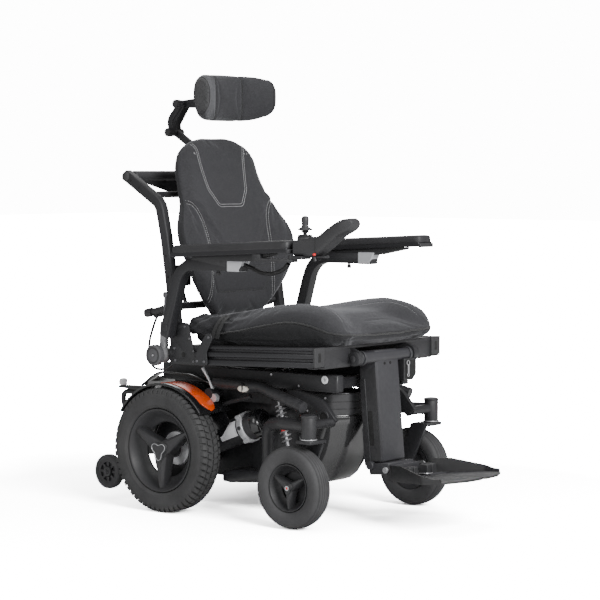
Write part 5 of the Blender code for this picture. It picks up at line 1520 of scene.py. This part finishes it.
def make_headrest_trim():
    """Slotted link plates either side of the bar, and knurled clamp knobs."""
    outline = rounded([(0.2030, 1.0790), (0.2240, 1.0790), (0.2340, 1.1160), (0.1960, 1.1760),
                       (0.1780, 1.1840), (0.1690, 1.1660), (0.2080, 1.1110)], 0.009, closed=True)
    plates = Shape()
    for side in (1, -1):
        low, high = sorted((side * 0.0115, side * 0.0165))
        plates.flat([tuple(p)[:2] for p in outline], "x", low, high)
    plates.make("headrest_link_plates", "black_metal", "headrest_link", bevel=0.0012)
    slots = Shape()
    for start, end in (((0.2175, 1.098), (0.2225, 1.114)), ((0.2215, 1.130), (0.1990, 1.155))):
        a, b = Vector((-0.0166, *start)), Vector((-0.0166, *end))
        turn = (b - a).normalized().cross(Vector((1, 0, 0))) * 0.0036
        outline = []
        for k in range(9):
            t = math.pi * k / 8
            outline.append(a + turn * math.cos(t) - (b - a).normalized() * 0.0036 * math.sin(t))
        for k in range(9):
            t = math.pi * k / 8
            outline.append(b - turn * math.cos(t) + (b - a).normalized() * 0.0036 * math.sin(t))
        slots.ring_strip([[p + Vector((shift, 0, 0)) for p in outline] for shift in (0.0, -0.0008)])
    slots.make("headrest_link_slots", "hole", "headrest_link")
    knobs, x_low, x_high, spread = Shape(), -0.0400, -0.0190, 0.0105
    for y, z in ((0.212, 1.088), (0.180, 1.172)):
        for k in range(12):
            a = math.tau * k / 12
            rib_y, rib_z = y + spread * math.cos(a), z + spread * math.sin(a)
            knobs.rod((x_low, rib_y, rib_z), (x_high, rib_y, rib_z), 0.0024, sides=8)
        knobs.rod((x_low - 0.001, y, z), (x_high, y, z), 0.0110)
    knobs.make("headrest_knobs", "black_plastic", "headrest_link", bevel=0.0005)


# ---------------------------------------------------------------- armrests and joystick


def make_arm_trim():
    """The end caps, knobs and screws of the armrests."""
    for side_name, side in SIDES.items():
        body = f"armrest_{side_name}"
        cap = Shape().flat([(-0.262, 0.6968), (-0.262, 0.7325), (-0.322, 0.7325), (-0.304, 0.6968)],
                           "x", side * (ARM_X - 0.0178), side * (ARM_X + 0.0178))
        cap.make(f"arm_cap_{side_name}", "pale_grey", body, bevel=0.0022, segments=3)
        knob = Shape().turned([(0.0, 0.6830), (0.0052, 0.6835), (0.0064, 0.6860), (0.0064, 0.6920),
                               (0.0042, 0.6940), (0.0042, 0.6990), (0.0, 0.6990)],
                              (side * ARM_X, -0.216, 0), axis=(0, 0, 1), sides=32)
        knob.make(f"arm_knob_{side_name}", "black_plastic", body)
        tip = Shape().box((side * 0.300 - 0.0318, -0.4985, 0.7520),
                          (side * 0.300 + 0.0318, -0.4900, 0.7640))
        tip.make(f"arm_channel_end_{side_name}", "black_plastic", body, bevel=0.0020)
        hinge = Shape().turned([(0.0, 0.3125), (0.0085, 0.3125), (0.0105, 0.3118), (0.0105, 0.3105),
                                (0.0, 0.3105)], (0, -0.028, 0.530), axis=(side, 0, 0), sides=32)
        hinge.make(f"arm_hinge_bolt_{side_name}", "black_metal", "seat")


def make_conduit():
    """The ribbed conduit over the joystick's cable, in a loop below the armrest."""
    path = smooth_route([(-0.3220, -0.491, 0.7240), (-0.3180, -0.470, 0.7085),
                         (-0.3120, -0.430, 0.6965), (-0.3060, -0.385, 0.6970),
                         (-0.3000, -0.345, 0.7080), (-0.2980, -0.316, 0.7160)], 0.0038)
    ribs = Shape()
    for before, after in zip(path, path[1:]):
        a, b = Vector(before), Vector(after)
        ribs.rod(a, a + (b - a) * 0.55, 0.0058, sides=16)
    ribs.swept(path, 0.0046, 12)
    ribs.make("joystick_conduit", "cable", "armrest_right", bevel=0.0003)


POD_TOP = [(-0.703, 0.838), (-0.698, 0.845), (-0.680, 0.8475), (-0.655, 0.840), (-0.630, 0.8265),
           (-0.605, 0.811), (-0.585, 0.8005), (-0.560, 0.796), (-0.530, 0.792), (-0.5075, 0.788)]
POD_LOW = [(-0.703, 0.832), (-0.698, 0.824), (-0.680, 0.812), (-0.655, 0.800), (-0.630, 0.782),
           (-0.605, 0.763), (-0.585, 0.751), (-0.560, 0.746), (-0.530, 0.7455), (-0.5075, 0.7455)]


def pod_taper(y):
    """How the pod and its display narrow towards the front end."""
    end = max(0.0, (-0.660 - y) / 0.043)
    return 1 - 0.62 * min(1.0, end) ** 2.2


def pod_section(y, grow=0.0, count=32):
    """A rounded-square section across the pod."""
    top, low = float(smooth_table(POD_TOP, y)) + grow, float(smooth_table(POD_LOW, y)) - grow
    mid, tall = (top + low) / 2, (top - low) / 2
    half = (0.0278 + grow) * math.sqrt(max(0.0, pod_taper(y)))
    ring = []
    for k in range(count):
        a = math.tau * (k + 0.5) / count
        c, s = math.cos(a), math.sin(a)
        ring.append(Vector((-0.2965 + half * math.copysign(abs(c) ** 0.42, c), y,
                            mid + tall * math.copysign(abs(s) ** 0.42, s))))
    return ring


def make_pod():
    """The joystick pod: a block under the stick that sweeps up into a display."""
    stations = np.concatenate([[-0.5075, -0.5090], np.linspace(-0.5130, -0.6900, 32),
                               [-0.6960, -0.7000, -0.7025]])
    rings = [pod_section(y, -0.0020 if y > -0.508 else 0.0) for y in stations]
    body = Shape().ring_strip(rings).make("pod_case", "black_plastic", "joystick_pod", sharp=50)
    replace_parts(body, "joystick_pod")
    rows = []
    for y in np.linspace(-0.606, -0.690, 20):
        top = float(smooth_table(POD_TOP, y))
        half = 0.0215 * math.sqrt(max(0.05, pod_taper(y)))
        rows.append([Vector((-0.2965 + half * share, y, top + lift)) for share, lift in
                     ((-1, -0.0035), (-0.96, 0.0004), (0.0, 0.0007), (0.96, 0.0004), (1, -0.0035))])
    Shape().ring_strip(rows).make("pod_display", "gloss_plastic", "joystick_pod", sharp=60)
    seam = pod_section(-0.585, 0.0002)
    Shape().swept(seam + seam[:1], 0.0006, 6, up=(0, 1, 0)).make("pod_seam", "hole", "joystick_pod")
    mount = Shape().box((-0.3320, -0.5440, 0.7374), (-0.2900, -0.5040, 0.7462))
    mount.rod((-0.324, -0.504, 0.7372), (-0.324, -0.504, 0.7470), 0.0095)
    mount.box((-0.3060, -0.6050, 0.7420), (-0.2860, -0.5500, 0.7480))
    mount.make("pod_mount", "black_metal", "joystick_pod", bevel=0.0014)
    jack = Shape().rod((-0.3060, -0.568, 0.7450), (-0.3060, -0.572, 0.7330), 0.0042)
    jack.rod((-0.2880, -0.568, 0.7450), (-0.2880, -0.572, 0.7350), 0.0036)
    jack.make("pod_jacks", "black_plastic", "joystick_pod", bevel=0.0004)
    Shape().turned([(0.0, 0.0050), (0.0026, 0.0042), (0.0036, 0.0018), (0.0036, -0.002),
                    (0.0, -0.002)], (-0.3240, -0.583, 0.7520), axis=(-1, 0, 0), sides=24).make(
        "pod_light", "red", "joystick_pod")
    keys = Shape()
    for x in (-0.3085, -0.2965, -0.2845):
        for y in (-0.596,):
            keys.rod((x, y, 0.8060), (x, y - 0.0006, 0.8085), 0.0036, sides=20)
    keys.make("pod_keys", "key_grey", "joystick_pod", bevel=0.0005)
    base = Shape().turned([(0.0, 0.7990), (0.0175, 0.7990), (0.0205, 0.7965), (0.0215, 0.7930),
                           (0.0215, 0.7880), (0.0, 0.7880)], (STICK.x, STICK.y, 0), axis=(0, 0, 1))
    base.make("joystick_base_ring", "black_plastic", "joystick_pod")
    skirt, boot = [(0.0172, 0.7955)], [(0.0, 0.8085)]
    for step in range(33):
        share = step / 32
        fold = 0.5 + 0.5 * math.cos(share * math.tau * 2)
        skirt.append((0.0185 + 0.0030 * fold * (1 - 0.3 * share), 0.7960 + 0.0070 * share))
        boot.append((0.0088 + 0.0045 * fold * (1 - 0.3 * share), 0.8087 + 0.0075 * share))
    skirt.append((0.0172, 0.8030))
    Shape().turned(skirt, (STICK.x, STICK.y, 0), axis=(0, 0, 1), sides=48, closed=True).make(
        "joystick_skirt", "tyre_rubber", "joystick_pod")
    Shape().turned(boot + [(0.0, 0.8165)], (STICK.x, STICK.y, 0), axis=(0, 0, 1), sides=48).make(
        "joystick_bellows", "tyre_rubber", "joystick")
    stick = Shape().turned([(0.0, 0.8535), (0.0050, 0.8531), (0.0086, 0.8510), (0.0102, 0.8470),
                            (0.0104, 0.8400), (0.0098, 0.8320), (0.0094, 0.8270), (0.0108, 0.8235),
                            (0.0185, 0.8190), (0.0205, 0.8168), (0.0190, 0.8148), (0.0060, 0.8140),
                            (0.0050, 0.7790), (0.0, 0.7785)], (STICK.x, STICK.y, 0), axis=(0, 0, 1))
    knob = stick.make("joystick_knob", "black_plastic", "joystick")
    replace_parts(knob, "joystick")


# ---------------------------------------------------------------- legrest


def leg_point(x, distance, forwards):
    """A point below the legrest hinge, measured along the leaning mast and forwards of it."""
    return Vector((x, LEG_PIVOT.y - math.sin(LEG_LEAN) * distance - math.cos(LEG_LEAN) * forwards,
                   LEG_PIVOT.z - math.cos(LEG_LEAN) * distance + math.sin(LEG_LEAN) * forwards))


def leg_block(shape, half, near, far, back, front, x=0.0):
    corners = []
    for distance in (near, far):
        corners.append([leg_point(x + a * half, distance, b) for a, b in
                        ((-1, back), (1, back), (1, front), (-1, front))])
    return shape.ring_strip(corners)


FOOT_PIVOT = Vector((0, -0.641, 0.155))
FOOT_TOE_UP = math.radians(-4)


def foot_point(x, y, z):
    """A point in a footplate's own directions, from its hinge."""
    turn = Matrix.Rotation(FOOT_TOE_UP, 3, "X")
    return FOOT_PIVOT + turn @ Vector((x, y, z))


def make_legrest_trim():
    """The small parts of the leg rest and its footplates."""
    head = Shape().rod((-0.1120, LEG_PIVOT.y, LEG_PIVOT.z), (0.1120, LEG_PIVOT.y, LEG_PIVOT.z),
                       0.0165, sides=48)
    for x in (-0.1085, 0.1000):
        head.rod((x, LEG_PIVOT.y, LEG_PIVOT.z), (x + 0.0085, LEG_PIVOT.y, LEG_PIVOT.z), 0.0205,
                 sides=48)
    head.make("mast_head_tube", "mast_metal", "legrest", bevel=0.0012)
    screws = Shape()
    for x in (-0.013, 0.013):
        screws.rod(leg_point(x, 0.020, 0.0098), leg_point(x, 0.020, 0.0112), 0.0040, sides=24)
    screws.make("mast_screws", "hole", "legrest", bevel=0.0003)
    slot = Shape()
    for side in (1, -1):
        leg_block(slot, 0.0003, 0.150, 0.245, -0.030, -0.014, side * 0.0534)
    slot.make("mast_side_slots", "hole", "legrest")
    covers = Shape()
    for side in (1, -1):
        leg_block(covers, 0.0004, 0.030, 0.2880, -0.0465, 0.0040, side * 0.0529)
    covers.make("mast_side_covers", "black_plastic", "legrest")
    edge = Shape()
    for side in (1, -1):
        leg_block(edge, 0.0022, 0.060, 0.2900, -0.0480, -0.0300, side * 0.0545)
    edge.make("mast_side_rails", "black_metal", "legrest", bevel=0.0010)
    pins = Shape().rod((-0.0895, FOOT_PIVOT.y, FOOT_PIVOT.z), (-0.0830, FOOT_PIVOT.y, FOOT_PIVOT.z),
                       0.0085, sides=24)
    pins.rod((0.0830, FOOT_PIVOT.y, FOOT_PIVOT.z), (0.0895, FOOT_PIVOT.y, FOOT_PIVOT.z), 0.0085,
             sides=24)
    pins.make("foot_pin_heads", "screw", "legrest_slider", bevel=0.0008)
    side_bar = Shape()
    for side in (1, -1):
        leg_block(side_bar, 0.0060, 0.196, 0.300, -0.052, -0.036, side * 0.0500)
        side_bar.rod(leg_point(side * 0.0430, 0.300, -0.030),
                     leg_point(side * 0.0640, 0.300, -0.030),
                     0.0120)
    side_bar.make("foot_side_bars", "mast_metal", "legrest_slider", bevel=0.0016)
    for side_name, side in SIDES.items():
        body = f"footplate_{side_name}"
        ridges = Shape()
        for y in (-0.062, -0.078):
            points = [foot_point(side * x, y - 0.10 * (x - 0.045) * (x > 0.045), -0.0222)
                      for x in np.linspace(0.012, 0.086, 10)]
            ridges.swept(points, 0.0018, 8)
        for number in range(7):
            y = -0.105 - 0.020 * number
            reach = 0.128 - 0.006 * abs(number - 3)
            ridges.swept([foot_point(side * x, y, -0.0230) for x in (0.014, reach * 0.5, reach)],
                         0.0009, 6)
        ridges.make(f"foot_ridges_{side_name}", "mast_metal", body)
        hinge = Shape()
        for x in (0.030, 0.052):
            hinge.box(foot_point(side * x - 0.009, -0.062, -0.0235),
                      foot_point(side * x + 0.009, -0.036, 0.0060))
        hinge.make(f"foot_blocks_{side_name}", "black_plastic", body, bevel=0.0016)
        spring = [foot_point(side * x, y, z) for x, y, z in
                  ((0.018, -0.036, -0.019), (0.018, -0.056, -0.019), (0.026, -0.064, -0.0195),
                   (0.040, -0.066, -0.0195), (0.046, -0.058, -0.019), (0.046, -0.040, -0.019))]
        Shape().swept(smooth_route(spring, 0.003), 0.0011, 8).make(f"foot_wire_{side_name}", "screw",
                                                                   body)


# ---------------------------------------------------------------- camera, light and floor


ROOM_LIGHT, BACKDROP_LIGHT, FLOOR_GAIN = 0.38, 14.0, 15.0
LAMPS = (("key", (-1.4, -4.4, 2.9), 2.2, 370.0), ("fill", (-4.6, 0.6, 2.2), 2.4, 50.0),
         ("top", (0.2, -0.4, 4.2), 2.6, 45.0), ("rim", (3.6, 2.6, 2.6), 2.4, 30.0))


def make_stage():
    """A plain pale floor, soft studio lights and the camera."""
    bpy.ops.mesh.primitive_plane_add(size=60.0, location=(0, 0, -0.0005))
    floor = bpy.context.object
    floor.name = "studio_floor"
    paper = Material("floor_paper", 0.95, Specular_IOR_Level=0.0)
    seen = paper.node("ShaderNodeLightPath").outputs["Is Camera Ray"]
    tone = paper.ramp(paper.noise(0.6), (0.3, 0.80), (0.7, 0.82))
    bright = paper.node("ShaderNodeVectorMath", Vector=tone)
    bright.operation = "SCALE"
    far = paper.node("ShaderNodeVectorMath", Vector=paper.place)
    far.operation = "LENGTH"
    gain = paper.node("ShaderNodeMapRange", Value=far.outputs["Value"])
    for key, value in (("From Min", 1.1), ("From Max", 3.0), ("To Min", FLOOR_GAIN),
                       ("To Max", FLOOR_GAIN * 5)):
        gain.inputs[key].default_value = value
    paper.tree.links.new(gain.outputs["Result"], bright.inputs["Scale"])
    paper.set("Base Color", paper.mixed(seen, tone, bright.outputs["Vector"]))
    floor.data.materials.append(paper.material)

    world = bpy.data.worlds.new("studio")
    bpy.context.scene.world = world
    world.use_nodes = True
    tree = world.node_tree
    background = tree.nodes["Background"]
    background.inputs["Color"].default_value = (1.0, 1.0, 1.0, 1.0)
    path = tree.nodes.new("ShaderNodeLightPath")
    strength = tree.nodes.new("ShaderNodeMapRange")
    tree.links.new(path.outputs["Is Camera Ray"], strength.inputs["Value"])
    strength.inputs["To Min"].default_value = ROOM_LIGHT
    strength.inputs["To Max"].default_value = BACKDROP_LIGHT
    tree.links.new(strength.outputs["Result"], background.inputs["Strength"])

    for name, place, size, power in LAMPS:
        data = bpy.data.lights.new(name, "AREA")
        data.size = size
        data.energy = power
        lamp = bpy.data.objects.new(name, data)
        bpy.context.scene.collection.objects.link(lamp)
        lamp.location = place
        towards = Vector((0, 0, 0.55)) - Vector(place)
        lamp.rotation_euler = towards.to_track_quat("-Z", "Y").to_euler()

    data = bpy.data.cameras.new("camera")
    data.lens = 127.77
    data.sensor_width = 36.0
    camera = bpy.data.objects.new("camera", data)
    bpy.context.scene.collection.objects.link(camera)
    camera.location = at(-4.7101, -4.1365, 0.9775)
    camera.rotation_euler = (math.radians(86.49), 0.0, math.radians(-50.6))
    bpy.context.scene.camera = camera


dress_frame()
make_wheels()
make_soft_goods()
make_base_trim()
make_seat_trim()
make_cushion_bunch()
make_back_trim()
make_recline_trim()
make_headrest_trim()
make_arm_trim()
make_conduit()
make_pod()
make_legrest_trim()
make_stage()
